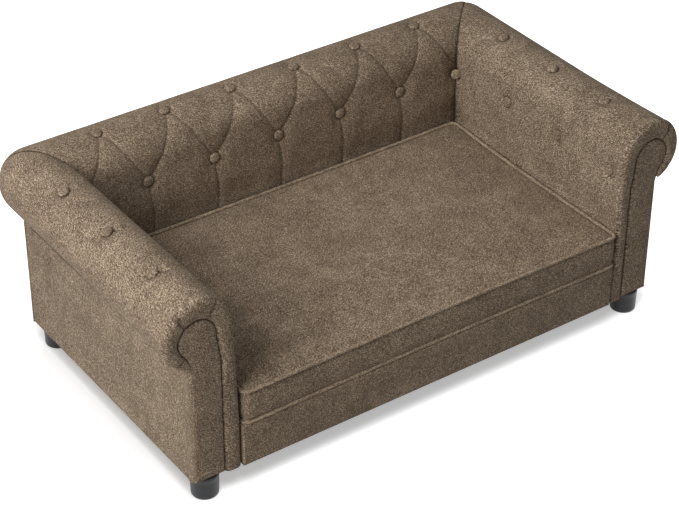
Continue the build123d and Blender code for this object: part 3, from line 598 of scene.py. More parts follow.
def arm_surface(side):
    """Points and painted shade marks of one arm's outer skin, and its lining, as rows of sections.

    A row is the scroll at one place along the arm, sunk along its normal by the buttons and
    by the mitre. At the front each row moves from the cover's edge towards the panel's edge
    on a rounded nose, with creases where the cloth is gathered.
    """
    across, height, out_across, out_up = scroll(arm_travel)
    share = corner_steps[:, None]
    straight = arm_straight[:, None] - arm_bend
    end_length = row_length(across, arm_beyond)
    ahead = np.concatenate((end_length * share, straight + 0 * across))
    place_y = arm_bend + ahead
    to_mitre = end_length - ahead
    sink = np.zeros(place_y.shape)
    shade_marks = np.zeros(place_y.shape)
    # Each button sinks the cloth in its dimple and gets a ring of painted shade round its rim.
    for row in crest_rows:
        away = np.hypot(place_y - row, arm_travel - crest_travel[side])
        sink += dimple(away, 6.5, 7.0)
        shade_marks += rim(away, 0.55)
        if side < 0:
            # A puff of cloth beside each crest button of the left arm, with a groove and a ring of
            # painted shade on its side towards the button.
            beside = arm_travel - crest_travel[side] - puff_aside
            puff = np.hypot(place_y - row + 1, beside)
            outside = np.clip(0.6 - beside / 12, 0, 1)
            sink -= puff_rise * np.exp(-((puff / puff_radius) ** 2)) - rim(puff, 1.6) * outside
            shade_marks += rim(puff, 0.6) * outside
    for row in face_rows:
        away = np.hypot(place_y - row, arm_travel - face_travel)
        sink += dimple(away, 6.5, 10.0)
        shade_marks += rim(away, 0.6)
    seam_sink, seam_mark = mitre_seam(arm_travel, to_mitre)
    shade_marks = np.maximum(shade_marks, seam_mark)
    rear_share = np.clip((place_y - 40) / 100, 0, 1)
    sink += seam_sink + pressed(arm_travel, right_dent if side > 0 else left_dent * rear_share)
    past_tuck = arm_travel - tuck_travel
    tail_round = 4 * (1 - np.clip(past_tuck / 10, 0, 1)) ** 2
    sink += tail_round
    swell_share = np.clip((swell_reach - arm_travel) / swell_reach, 0, 1)
    swell_share = swell_share * np.clip(past_tuck / 30, 0, 1)
    front_share = np.clip((swell_start - place_y) / (swell_start - arm_front), 0, 1)
    sink -= (swell_rise * front_share**1.5 - 1.0) * swell_share
    # Above each face button the cloth sinks in a curved crease, which is painted darker along it
    # as shade in the crease.
    for row, strength in zip(face_rows, face_crease_strengths):
        away = np.hypot(place_y - row, arm_travel - face_travel)
        above = np.clip((face_travel - arm_travel + 3) / 10, 0, 1)
        off_crease = away - face_crease_radius
        shade_marks = np.maximum(shade_marks, strength * above * np.exp(-((off_crease / 1.3) ** 2)))
        sink += strength * 1.6 * above * np.exp(-((off_crease / 2.0) ** 2))
    moved = across - out_across * sink
    raised = height - out_up * sink
    run_length = row_length(moved, arm_beyond)
    run = np.concatenate((run_length[: len(share)] * share, ahead[len(share) :]))
    sideways, forward = swing_round(back_axis, moved, run, arm_beyond)
    front_dent = pressed(arm_travel, right_dent if side > 0 else 0)
    swollen = (swell_rise - 1.0) * swell_share - front_dent - tail_round
    across = across + out_across * swollen
    height = height + out_up * swollen
    edge_across, edge_height = facing_edge(arm_travel)
    reach = np.hypot(edge_across - across, edge_height - height)
    outer_round = np.minimum(11, 0.45 * reach)
    inner_round = np.minimum(10, 0.42 * reach)
    stretch = straight / straight[-1]
    forward[len(share) :] = arm_bend + (arm_front + outer_round - arm_bend) * stretch
    body = np.stack((arm_axis + sideways, forward, raised), axis=-1)

    inward = np.concatenate(
        (
            outer_round * (1 - np.cos(nose_turns)),
            reach - inner_round * (1 - np.sin(nose_turns)),
            reach + 0 * tucked_depths,
        )
    )
    depth = np.concatenate(
        (
            outer_round * (1 - np.sin(nose_turns)),
            inner_round * (1 - np.cos(nose_turns)),
            tucked_depths + 0 * reach,
        )
    )
    crease = np.zeros(len(arm_travel))
    for turn, strength in arm_pleats[side]:
        aside = arm_travel - turn * roll_radius
        crease = np.maximum(crease, strength * np.exp(-np.abs(aside) / 2.4))
    on_band = np.clip(np.sin(np.clip(inward / reach, 0, 1) * pi), 0, 1) ** 0.5
    pulled = crease * on_band
    band_across = across + (edge_across - across) * inward / reach
    band_height = height + (edge_height - height) * inward / reach
    nose = np.stack(
        (
            arm_axis + band_across - out_across * pulled * 0.4,
            arm_front + depth + pulled * 0.8,
            band_height - out_up * pulled * 0.4,
        ),
        axis=-1,
    )
    outer = np.concatenate((body, nose))
    # The pleats' creases are painted darker, as shade in the gathers.
    shade_marks = np.concatenate((shade_marks, np.clip(pulled / 4, 0, 0.6)))

    across, height, out_across, out_up = scroll(inner_travel)
    across = across - out_across * padding
    height = height - out_up * padding
    inner_length = row_length(across, arm_beyond)
    run = np.concatenate((inner_length * share, straight + 0 * across))
    sideways, forward = swing_round(back_axis, across + 0 * run, run, arm_beyond)
    forward[len(share) :] = arm_bend + (arm_front + padding - arm_bend) * stretch
    lining = np.stack((arm_axis + sideways, forward, height + 0 * run), axis=-1)
    closing = lining[-1:].repeat(len(nose), axis=0)
    edge_across, edge_height = facing_edge(inner_travel)
    toward = np.linspace(0, 1, len(nose) + 1)[1:, None]
    closing[:, :, 0] += (arm_axis + edge_across - closing[:, :, 0]) * toward
    closing[:, :, 2] += (edge_height - closing[:, :, 2]) * toward
    closing[:, :, 1] = arm_front + 15.5 + 1.5 * (1 - toward)
    lining = np.concatenate((lining, closing))
    forward_run = np.concatenate((place_y, arm_front - inward))
    return outer, lining, shade_marks, forward_run


def put_upholstery(name, surface, travel, cloth, side=1):
    """Padded roll from its skin and lining, with the weave laid along it and round it."""
    outer, lining, shade_marks, along = surface
    points = join_loop(outer, lining, 4)
    points[:, :, 0] *= side
    spare = points.shape[1] - outer.shape[1]
    along = np.concatenate((along, along[:, -1:].repeat(spare + 1, axis=1)), axis=1)
    round_it = np.concatenate((travel, foot_travel + 3.0 * np.arange(1, spare + 2)))
    weave = np.stack((along, round_it + 0 * along), axis=-1)
    shade_marks = np.concatenate((shade_marks, np.zeros((len(shade_marks), spare))), axis=1)
    return put_shell(name, points, weave, cloth, shade_marks)


for side, name in ((-1, "left"), (1, "right")):
    surface = arm_surface(side)
    arm = put_upholstery(f"{name}_arm_upholstery", surface, arm_travel, nap_and_glint_cloth, side)
    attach(arm, "sofa")
    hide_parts(f"{name}_arm_cover", f"{name}_arm_foam")


# Back: the same padded roll between the two mitres, diamond tufted. Cloth is folded under along
# curved lines from each crest button to the face buttons either side of it, and straight down
# from each face button to the seat.
back_pitch = 130
crest_buttons = [back_pitch * (place - 2.5) for place in range(6)]
face_buttons = [back_pitch * (place - 3) for place in range(7)]
crest_button_travel = 5
back_tuck = -roll_radius * (pi / 2 + acos(10 / roll_radius))
back_travel = np.concatenate(
    (
        np.linspace(back_tuck, -24, 44, endpoint=False),
        np.linspace(-24, 232, 142, endpoint=False),
        np.linspace(232, foot_travel, 44),
    )
)
back_inner_travel = np.linspace(foot_travel, back_tuck, 22)
back_bend = 370
back_beyond = arm_axis - back_bend
back_middle = np.linspace(-back_bend, back_bend, 390)
back_end_steps = np.linspace(0, 1, 40)[1:]


def fold_line(start, stop, bow):
    """Curve sewn from start to stop, each (across, travel): straight, but bowed by a sine."""

    def across_at(travel):
        share = np.clip((travel - start[1]) / (stop[1] - start[1]), 0, 1)
        return start[0] + (stop[0] - start[0]) * (share - bow * np.sin(share * pi))

    return across_at, start[1], stop[1], abs(stop[0] - start[0]) / (stop[1] - start[1])


back_folds = []
for across_place in crest_buttons:
    for step, bow in ((-0.5, 0.11), (0.5, 0.05)):
        stop = (across_place + step * back_pitch, corner_travel)
        back_folds.append(fold_line((across_place, crest_button_travel), stop, bow))
    back_folds.append(fold_line((across_place - 1, -20), (across_place, 0), 0))
for across_place in face_buttons[1:-1]:
    stop = (across_place + 6, corner_travel + 64)
    back_folds.append(fold_line((across_place, corner_travel), stop, 0.12))
    back_folds.append(fold_line(stop, (across_place + 6, wall_stop), 0))


def fold_sink(across_place, travel):
    """Sink of the folds, a narrow notch, steeper below it, in a broad soft hollow, and their mark:
    a thin line of painted shade.
    """
    nearest = np.full(across_place.shape, 1e3)
    for across_at, top, bottom, slope in back_folds:
        beside = (across_place - across_at(travel)) / hypot(1, slope)
        beyond = np.maximum(top - travel, 0) + np.maximum(travel - bottom, 0)
        nearest = np.minimum(nearest, np.hypot(beside, beyond))
    notch = 2.1 * np.exp(-((nearest / 2.6) ** 1.2))
    hollow = 2.2 * np.exp(-((nearest / 16) ** 1.5))
    fade = np.clip((wall_stop + 20 - travel) / 70, 0, 1) * np.clip((travel + 22) / 40, 0.2, 1)
    return (notch + hollow) * fade, np.exp(-((nearest / 1.3) ** 2)) * 0.4 * fade


def back_surface():
    """Points and painted shade marks of the back's outer skin, and its lining, as rows of
    sections.
    """
    across, height, out_across, out_up = scroll(back_travel)
    end_length = row_length(across, back_beyond)
    after = back_end_steps[:, None]
    straight = back_middle[len(back_middle) // 2 :, None] - back_bend
    half = np.concatenate((straight + 0 * across, end_length * after))
    place_x = back_bend + half
    from_mitre = end_length - half
    place_x = np.concatenate((-place_x[::-1], place_x))
    from_mitre = np.concatenate((from_mitre[::-1], from_mitre))
    sink, shade_marks = fold_sink(place_x, back_travel)
    sink += pressed(back_travel, 6 + place_x / 380)
    # Each button sinks the cloth in its dimple and gets a ring of painted shade round its rim.
    for button in crest_buttons:
        away = np.hypot(place_x - button, back_travel - crest_button_travel)
        sink += dimple(away, 4.5, 8.0)
        shade_marks = np.maximum(shade_marks, rim(away, 0.6))
    for button in face_buttons[1:-1]:
        away = np.hypot(place_x - button, back_travel - corner_travel)
        sink += dimple(away, 4.5, 11.0)
        shade_marks = np.maximum(shade_marks, rim(away, 0.6))
    seam_sink, seam_mark = mitre_seam(back_travel, from_mitre)
    sink += seam_sink
    shade_marks = np.maximum(shade_marks, seam_mark)
    moved = across - out_across * sink
    raised = height - out_up * sink
    rows = len(back_end_steps)
    run_length = row_length(moved, back_beyond)
    middle = len(sink) // 2
    run = np.concatenate((half[:-rows], run_length[-rows:] * after))
    run = np.concatenate((run[::-1], run))
    sideways, forward = swing_round(arm_axis, moved, run, back_beyond)
    forward[:middle] *= -1
    outer = np.stack((forward, back_axis + sideways, raised), axis=-1)

    across, height, out_across, out_up = scroll(back_inner_travel)
    across = across - out_across * padding
    height = height - out_up * padding
    inner_length = row_length(across, back_beyond)
    run = np.concatenate((straight + 0 * across, inner_length * after))
    run = np.concatenate((run[::-1], run))
    sideways, forward = swing_round(arm_axis, across + 0 * run, run, back_beyond)
    forward[:middle] *= -1
    lining = np.stack((forward, back_axis + sideways, height + 0 * run), axis=-1)
    return outer, lining, shade_marks, place_x


back = put_upholstery("back_upholstery", back_surface(), back_travel, sewn_cloth)
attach(back, "sofa")
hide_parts("back_cover", "back_foam")


# Covered buttons: a metal dome with a disc of the same cloth stretched over it, tied through
# the foam with twine so that it sits in its dimple.
button_radius = 9.8


def button_shapes(places):
    """Loops of domes, one after another: each turned to its direction and set at its point.

    A dome is one profile turned about its direction: flat below, steep at the rim and full in
    the middle. Each place is (point, outward direction).
    """
    level = np.array((0.12, 0.3, 0.55, 0.85, 1.0, 1.0, 0.97, 0.9, 0.78, 0.6, 0.38, 0.12))
    lift = np.array((-1.5, -1.5, -1.5, -1.2, -0.5, 0.6, 1.7, 2.7, 3.5, 4.1, 4.4, 4.5))
    level = level[:, None, None]
    lift = lift[:, None, None]
    angle = np.linspace(0, 2 * pi, 33)
    shapes = []
    for point, out in places:
        out = np.array(out, float) / np.linalg.norm(out)
        side_way = np.cross(out, (0.3, 0.2, 0.9) if abs(out[2]) < 0.9 else (1, 0, 0))
        side_way /= np.linalg.norm(side_way)
        up_way = np.cross(out, side_way)
        ring = np.cos(angle)[:, None] * side_way + np.sin(angle)[:, None] * up_way
        shape = np.array(point) + button_radius * level * ring + lift * out
        flat = np.stack((np.cos(angle), np.sin(angle)), axis=-1) * button_radius
        uv = level * flat + np.array((point[0] + point[1], point[2]))
        shapes.append((shape[:, :-1], uv))
    return shapes


def put_buttons(name, nodes, places):
    """One piece of several domes, joined into the first."""
    domes = [
        put_shell(f"{name}_{place}", shape, uv, sewn_cloth)
        for place, (shape, uv) in enumerate(button_shapes(places))
    ]
    with bpy.context.temp_override(
        active_object=domes[0], selected_objects=domes, selected_editable_objects=domes
    ):
        bpy.ops.object.join()
    piece = domes[0]
    piece.name = name
    piece.data.name = name
    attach(piece, "sofa")
    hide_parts(*nodes)


def on_scroll(travel, depth):
    """Point of the scroll section sunk by depth, as (across, height), and its direction."""
    across, height, out_across, out_up = (float(v) for v in scroll(np.array(travel)))
    return (across - out_across * depth, height - out_up * depth), (out_across, out_up)


for side, name in ((-1, "left"), (1, "right")):
    places = []
    for rows, travel, depth in (
        (crest_rows, crest_travel[side], 5.2),
        (face_rows, face_travel, 6.2),
    ):
        (across, height), (out_across, out_up) = on_scroll(travel, depth)
        for row in rows:
            point = (side * (arm_axis + across), row, height)
            places.append((point, (side * out_across, 0, out_up)))
    put_buttons(f"{name}_arm_button_row", [f"{name}_arm_buttons"], places)

(across, height), (out_across, out_up) = on_scroll(crest_button_travel, 5.6)
places = [((at, back_axis + across, height), (0, out_across, out_up)) for at in crest_buttons]
put_buttons("back_crest_button_row", ["back_crest_buttons"], places)
(across, height), (out_across, out_up) = on_scroll(corner_travel, 6.4)
out = (0, out_across, out_up)
places = [((at, back_axis + across, height), out) for at in face_buttons[1:-1]]
(across, height), _ = on_scroll(corner_travel, -1.5)
for side in (-1, 1):
    point = (side * (arm_axis + across + 2), back_axis + across, height)
    places.append((point, (-0.6 * side, -1, 0.05)))
put_buttons("back_face_button_row", ["back_face_buttons"], places)


# Facing panels: a board cut to the scroll, padded thinly and covered, nailed into the end of
# the arm so that its edge hides the raw edges of the cover.
wrap_top = 262


def inward_rings(outline, steps):
    """Rings parallel to a closed outline: each point moved along the inward normal.

    Near the square corners at the foot a ring is stopped at its own distance from both edges.
    """
    ahead = np.roll(outline, -1, axis=0) - np.roll(outline, 1, axis=0)
    ahead /= np.maximum(np.linalg.norm(ahead, axis=1, keepdims=True), 1e-6)
    normal = np.stack((-ahead[:, 1], ahead[:, 0]), axis=-1)
    turned = np.roll(outline, -1, axis=0)
    area = np.sum(outline[:, 0] * turned[:, 1] - turned[:, 0] * outline[:, 1])
    rings = outline + normal * np.sign(area) * steps[:, :, None]
    low = outline[:, 1] < wrap_top
    left_stop = np.where(low, outline[0, 0] + steps, -1e3)
    right_stop = np.where(low, facing_outer - steps, 1e3)
    rings[:, :, 0] = np.clip(rings[:, :, 0], left_stop, right_stop)
    rings[:, :, 1] = np.maximum(rings[:, :, 1], underside + steps)
    return rings


panel_travel = np.linspace(foot_travel, tuck_travel, 170)
edge_across, edge_height = facing_edge(panel_travel)
shape = np.stack((edge_across, edge_height), axis=-1)
down_side = np.linspace(wrap_top, underside, 60)
wrap_side = np.column_stack((np.full(len(down_side), facing_outer), down_side))
along_foot = np.linspace(facing_outer, shape[0, 0], 18)[1:-1]
foot_side = np.column_stack((along_foot, np.full(len(along_foot), underside)))
shape = np.concatenate((shape, wrap_side, foot_side))
wraps = np.zeros(len(shape), bool)
wraps[len(panel_travel) : len(panel_travel) + len(wrap_side)] = True
tucked_steps = np.array((0.9, 0.9, 0.9, 1.3, 2.2, 3.6, 5.6, 9.0, 14.0))[:, None]
tucked_depth = np.array((12.0, 6.0, 3.6, 2.1, 1.1, 0.55, 0.25, 0.0, -0.5))[:, None]
wrapped_steps = np.array((1.2, 0.1, 0.3, 1.2, 2.8, 4.8, 7.4, 10.5, 16.0))[:, None]
wrapped_depth = np.array((20.0, 12.0, 8.6, 5.6, 3.2, 1.5, 0.5, 0.0, -0.5))[:, None]
panel_steps = np.where(wraps, wrapped_steps, tucked_steps)
panel_depth = np.where(wraps, wrapped_depth, tucked_depth)
rings = inward_rings(shape, panel_steps)
for side, name in ((-1, "left"), (1, "right")):
    points = np.stack(
        (side * (arm_axis + rings[:, :, 0]), arm_front + 2 + panel_depth, rings[:, :, 1]), axis=-1
    )
    weave = rings + panel_depth[:, :, None] * np.array((1, 0))
    weave = np.concatenate((weave, weave[:, :1]), axis=1)
    panel = put_shell(f"{name}_facing", points, weave, sewn_cloth)
    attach(panel, "sofa")
    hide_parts(f"{name}_facing_panel")


# Outer covers: cloth tacked along a card strip under the roll and drawn down over board to the
# underside, on both ends and across the rear, and round the apron board at the front. The ends
# get a thin line of painted shade just below the roll, where the roll shades them, fading out
# towards the front.
between_arms = 374.7
point_gap = 6
roll_shade_drop = 23
roll_shade_steps = (17.5, 19.8)
roll_shade_front = -90
roll_shade_ease = 260


def put_slab(name, nodes, low, high, facing, edge):
    """Thin covered panel: rings round its outline, eased over the edge towards its face.

    Low and high are opposite corners. Facing is the axis that the good side faces and its
    sign, and edge is the radius of the eased edge.
    """
    low, high = np.array(low, float), np.array(high, float)
    axis, sign = facing
    flat = [place for place in range(3) if place != axis]
    first, second = flat
    size = high - low
    across, up = [
        np.linspace(low[place], high[place], max(int(size[place] / point_gap), 2), endpoint=False)
        for place in flat
    ]
    bottom = np.column_stack((across, np.full(len(across), low[second])))
    far = np.column_stack((np.full(len(up), high[first]), up))
    both_corners = (low + high)[flat]
    outline = np.concatenate((bottom, far, both_corners - bottom, both_corners - far))
    turns = np.linspace(0, pi / 2, 7)
    inner_steps = edge + np.array((12, *roll_shade_steps, 21.5, 25))
    steps = np.concatenate(((edge * 0.3, 0.0), edge * (1 - np.cos(turns)), inner_steps))
    behind = (size[axis], size[axis] * 0.9)
    level = np.zeros(len(inner_steps))
    deep = np.concatenate((behind, edge * (1 - np.sin(turns)), level))
    centre = both_corners / 2
    scale = 1 - steps[:, None, None] / (size[flat] / 2)
    rings = centre + (outline - centre) * scale
    points = np.zeros((len(steps), len(outline), 3))
    points[:, :, flat] = rings
    face = high[axis] if sign > 0 else low[axis]
    points[:, :, axis] = face - sign * deep[:, None]
    weave = rings + deep[:, None, None]
    weave = np.concatenate((weave, weave[:, :1]), axis=1)
    # A thin line of painted shade just below the roll on the end covers, fading out towards the
    # front.
    marks = np.zeros(points.shape[:2])
    if axis == 0:
        under_roll = points[-4:-2]
        roll_shade = 0.8 * np.clip((under_roll[:, :, 1] - roll_shade_front) / roll_shade_ease, 0, 1)
        marks[-4:-2] = np.where(under_roll[:, :, 2] > high[2] - roll_shade_drop, roll_shade, 0)
    cloth = nap_and_glint_cloth if axis == 0 else sewn_cloth
    piece = put_shell(name, points, weave, cloth, marks)
    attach(piece, "sofa")
    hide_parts(*nodes)


for side, name in ((-1, "left"), (1, "right")):
    x_low, x_high = sorted((side * (arm_axis + 19), side * (arm_axis + 22)))
    low, high = (x_low, arm_front + 12, underside), (x_high, 234.7, 268)
    put_slab(f"{name}_outer_side", [f"{name}_side_cover"], low, high, (0, side), 2.2)
low, high = (-464, 235, underside), (464, 239, 264)
put_slab("rear_outer_cover", ["back_outer_cover"], low, high, (1, 1), 2.2)
low, high = (-between_arms, -288, underside), (between_arms, -265, 119.9)
put_slab("front_apron", ["apron_cover", "apron_pad"], low, high, (1, -1), 2.4)


# Legs: short round feet moulded in black plastic, a little wider at the top, with a rounded
# foot and a low collar, screwed up into the arms. The mould's fine grain, drawn 1.1 mm apart,
# breaks a plain plastic gloss into a broad soft one.
moulded, moulded_tree = blank_material("moulded_black_polypropylene")
grain = add_node(
    moulded_tree,
    "ShaderNodeTexNoise",
    {},
    {
        "Vector": add_node(moulded_tree, "ShaderNodeTexCoord").outputs["Object"],
        "Scale": 900,
        "Detail": 2,
    },
)
moulded_bump = add_node(
    moulded_tree,
    "ShaderNodeBump",
    {},
    {"Height": grain.outputs["Fac"], "Strength": 0.12, "Distance": 0.0004},
)
moulded_surface = add_node(
    moulded_tree,
    "ShaderNodeBsdfPrincipled",
    {},
    {
        "Base Color": linear("#1d1e21"),
        "Roughness": 0.42,
        "IOR": 1.49,
        "Normal": moulded_bump.outputs[0],
    },
)
add_node(moulded_tree, "ShaderNodeOutputMaterial", {}, {"Surface": moulded_surface.outputs[0]})
leg_profile = np.array(
    (
        (2.0, 0.9),
        (12.0, 0.6),
        (17.5, 0.0),
        (19.4, 0.2),
        (21.2, 1.1),
        (22.3, 2.7),
        (22.6, 4.6),
        (22.75, 12.0),
        (22.95, 22.0),
        (23.1, 30.0),
        (23.2, 36.4),
        (23.5, 36.9),
        (23.5, 41.4),
        (22.9, 41.9),
        (5.0, 41.95),
    )
)
leg_angle = np.linspace(0, 2 * pi, 73)
leg_circle = np.column_stack((np.cos(leg_angle), np.sin(leg_angle)))
for name, leg_x, leg_y in (
    ("front_left", -432, -261),
    ("front_right", 432, -261),
    ("rear_left", -432, 213),
    ("rear_right", 432, 213),
):
    points = np.zeros((len(leg_profile), len(leg_angle), 3))
    points[:, :, :2] = leg_profile[:, :1, None] * leg_circle + np.array((leg_x, leg_y))
    points[:, :, 2] = leg_profile[:, 1:]
    weave = points[:, :, :2].copy()
    leg = put_shell(f"foot_{name}", points[:, :-1], weave, moulded)
    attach(leg, "sofa")
    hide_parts(f"leg_{name}")


# Seat cushion: a boxed foam slab in a sewn cover. It is loose, a little crowned on top, its band
# bulges between the two piped seams, and a zip closes it at the rear.
cushion_half = 377.5
cushion_middle = 3.5
cushion_front = -290
cushion_rear = 162
cushion_foot = 120.3
cushion_top = 186
cord_radius = 3.1
piping_corner = 11
side_draw = 2.5
seam_width = 12
top_push = 5
top_rise = 3
zip_reach = 345
zip_height = 153
zip_hollow = 15
stuffing_frames = 20
top_swell = 4.0
band_swell = 1.2


def cushion_ring(inset, corner):
    """Rounded rectangle as a loop: four quarter circles, and sides drawn in by a sine."""
    middle = (cushion_front + cushion_rear) / 2
    half_depth = (cushion_rear - cushion_front) / 2 - inset - corner
    turn = np.linspace(0, pi / 2, 9)
    arcs = []
    for quarter in range(4):
        angle = turn + quarter * pi / 2
        centre = (cushion_half - inset - corner) * np.sign(cos(quarter * pi / 2 + pi / 4))
        centre += cushion_middle
        depth_centre = middle + half_depth * np.sign(sin(quarter * pi / 2 + pi / 4))
        arcs.append(
            np.stack((centre + corner * np.cos(angle), depth_centre + corner * np.sin(angle)), -1)
        )
    pieces = []
    share = np.linspace(0, 1, 62)[1:-1, None]
    for quarter in range(4):
        start, stop = arcs[quarter][-1], arcs[(quarter + 1) % 4][0]
        out = np.array((cos((quarter + 1) * pi / 2), sin((quarter + 1) * pi / 2)))
        straight = start * (1 - share) + stop * share - out * side_draw * np.sin(share * pi)
        pieces += [arcs[quarter], straight]
    return np.concatenate(pieces)


def settle(points):
    """Set of the cushion against the sofa's back.

    Its top is pushed back and rises there, and the band lies flatter along the zip, most of
    all towards the zip's ends.
    """
    high = np.clip((points[..., 2] - 165) / 15, 0, 1)
    rear = np.clip(points[..., 1] / cushion_rear, 0, 1)
    aside = np.abs(points[..., 0])
    zipped = np.clip(points[..., 1] - 150, 0, 10) / 10 * np.clip((zip_reach - aside) / 30, 0, 1)
    deep = (2.8 + 2.4 * np.clip(aside / 300, 0, 1) ** 2) * zipped
    hollow = deep * np.exp(-(((points[..., 2] - zip_height) / zip_hollow) ** 2))
    points[..., 1] += top_push * high * rear - hollow
    points[..., 2] += top_rise * high * rear**2
    return points


def cushion_rows():
    """Rings of the cover from the middle of its underside round the band to the top's middle."""
    rows = []
    for inset, height in (
        (205, 120.3),
        (120, 120.3),
        (40, 120.3),
        (14, 120.5),
        (6.0, 121.6),
        (3.2, 124.2),
        (2.6, 128),
        (2.0, 140),
        (1.8, 153),
        (2.0, 166),
        (2.6, 177),
        (3.2, 181.0),
        (6.0, 183.4),
        (14, 185.3),
        (36, 187.8),
        (70, 189.8),
        (120, 190.9),
        (205, 191.1),
    ):
        ring = cushion_ring(inset, 9 if inset < 30 else 14)
        rows.append(np.column_stack((ring, np.full(len(ring), height))))
    return settle(np.array(rows))


rows = cushion_rows()
no_weave = np.zeros((rows.shape[0], rows.shape[1] + 1, 2))
cushion = put_shell("seat_cushion", rows, no_weave, loose_cloth)
# The cover is blown up by a short cloth simulation, with its seams and underside held, and
# the growth is then eased down to what a real cushion swells.
bpy.context.view_layer.objects.active = cushion
voxels = cushion.modifiers.new("voxels", "REMESH")
voxels.mode = "VOXEL"
voxels.voxel_size = 0.006
bpy.ops.object.modifier_apply(modifier="voxels")
count = len(cushion.data.vertices)
still = np.empty(count * 3, np.float32)
cushion.data.vertices.foreach_get("co", still)
still = still.reshape(-1, 3).astype(float) * 1000
top_gap = np.abs(still[:, 2] - cushion_top + 2)
foot_gap = np.abs(still[:, 2] - cushion_foot - 2)
edge_gap = np.minimum(
    cushion_half - np.abs(still[:, 0] - cushion_middle),
    np.minimum(still[:, 1] - cushion_front, cushion_rear - still[:, 1]),
)
sewn = (np.minimum(top_gap, foot_gap) < 4.5) & (edge_gap < seam_width)
lying = (still[:, 2] < cushion_foot + 2) | (still[:, 1] > cushion_rear - 8)
held = cushion.vertex_groups.new(name="held")
held.add(np.flatnonzero(sewn | lying).tolist(), 1.0, "REPLACE")
cloth = cushion.modifiers.new("stuffing", "CLOTH")
cloth.settings.quality = 5
cloth.settings.mass = 0.3
cloth.settings.use_pressure = True
cloth.settings.uniform_pressure_force = 4
cloth.settings.vertex_group_mass = "held"
cloth.settings.tension_stiffness = 25
cloth.settings.compression_stiffness = 25
cloth.settings.bending_stiffness = 1.5
cloth.settings.effector_weights.gravity = 0
cloth.point_cache.frame_start = 1
cloth.point_cache.frame_end = stuffing_frames
for step in range(1, stuffing_frames + 1):
    bpy.context.scene.frame_set(step)
swollen = cushion.evaluated_get(bpy.context.evaluated_depsgraph_get())
grown = np.empty(count * 3, np.float32)
swollen.data.vertices.foreach_get("co", grown)
push = grown.reshape(-1, 3).astype(float) * 1000 - still
bpy.context.scene.frame_set(1)
cushion.modifiers.remove(cloth)
length = np.linalg.norm(push, axis=1, keepdims=True)
on_top = still[:, 2:] > cushion_top - 1
past_seam = np.clip((edge_gap[:, None] - seam_width) / 50, 0, 1)
limit = np.where(on_top, 0.4 + top_swell * past_seam, band_swell)
push *= np.tanh(length / limit) * limit / np.maximum(length, 1e-6)
places = ((still + push) * 0.001).astype(np.float32).reshape(-1)
cushion.data.vertices.foreach_set("co", places)
cushion.data.polygons.foreach_set("use_smooth", np.ones(len(cushion.data.polygons), bool))
cushion.data.update()
finer = cushion.modifiers.new("finer", "SUBSURF")
finer.levels = 1
finer.render_levels = 1
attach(cushion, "cushion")
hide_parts("cushion_foam", "cushion_cover")


def put_piping(name, node, height):
    """Piping: a cord in cloth cut on the bias, sewn in along the cushion's edge.

    A circle is carried along the rounded outline. Its radius wavers by two sines, as a cord
    does between stitches, and the weave lies slantwise across it.
    """
    line = cushion_ring(cord_radius, piping_corner)
    ahead = np.roll(line, -1, axis=0) - np.roll(line, 1, axis=0)
    ahead /= np.linalg.norm(ahead, axis=1, keepdims=True)
    out = np.stack((ahead[:, 1], -ahead[:, 0], np.zeros(len(ahead))), axis=-1)[:, None]
    angle = np.linspace(0, 2 * pi, 13)
    walked = np.cumsum(np.linalg.norm(np.roll(line, -1, axis=0) - line, axis=1))
    swell = cord_radius * (1 + 0.05 * np.sin(walked / 9) + 0.04 * np.sin(walked / 3.7 + 2))
    around = np.cos(angle)[:, None] * out + np.sin(angle)[:, None] * np.array((0, 0, 1.0))
    points = np.column_stack((line, np.full(len(line), height)))[:, None]
    points = settle(points + swell[:, None, None] * around)
    bias = angle * cord_radius
    weave = np.stack((walked[:, None] + bias, walked[:, None] - bias), axis=-1) * 0.7
    piping = put_shell(name, points[:, :-1], weave, bias_cloth, ends=False, ring=True)
    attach(piping, "cushion")
    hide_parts(node)


put_piping("top_piping", "cushion_top_cord", cushion_top - cord_radius)
put_piping("bottom_piping", "cushion_bottom_cord", cushion_foot + cord_radius)


# Deck and dust covers: the cloth stretched over the deck below the cushion, and the black
# spun sheet stapled under the base.
deck_front = -263.7
deck_rear = 162.7


def put_sheet(name, node, low, high, material):
    """Flat stretched cloth: rings round its outline that turn over its thin edge."""
    low, high = np.array(low, float), np.array(high, float)
    thick = high[2] - low[2]
    square = np.array(((0, 0), (1, 0), (1, 1), (0, 1)), float)
    share = np.linspace(0, 1, 24, endpoint=False)[:, None]
    outline = np.concatenate(
        [square[at] * (1 - share) + square[(at + 1) % 4] * share for at in range(4)]
    )
    rings = []
    steps = ((60, 0), (0.4, 0), (0, 0.3), (0, 0.7), (0.4, 1), (8, 1), (60, 1), (120, 1))
    for inset, height_share in steps:
        size = high[:2] - low[:2] - 2 * inset
        flat = low[:2] + inset + outline * size
        height = low[2] + thick * height_share
        rings.append(np.column_stack((flat, np.full(len(flat), height))))
    points = np.array(rings)
    weave = np.concatenate((points, points[:, :1]), axis=1)[:, :, :2]
    piece = put_shell(name, points, weave, material)
    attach(piece, "sofa")
    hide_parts(node)
    size = (high - low)[:2] * 0.001
    return piece


low, high = (-between_arms, deck_front, 118), (between_arms, deck_rear, seat_height)
deck = put_sheet("deck_cloth", "deck_cover", low, high, sewn_cloth)

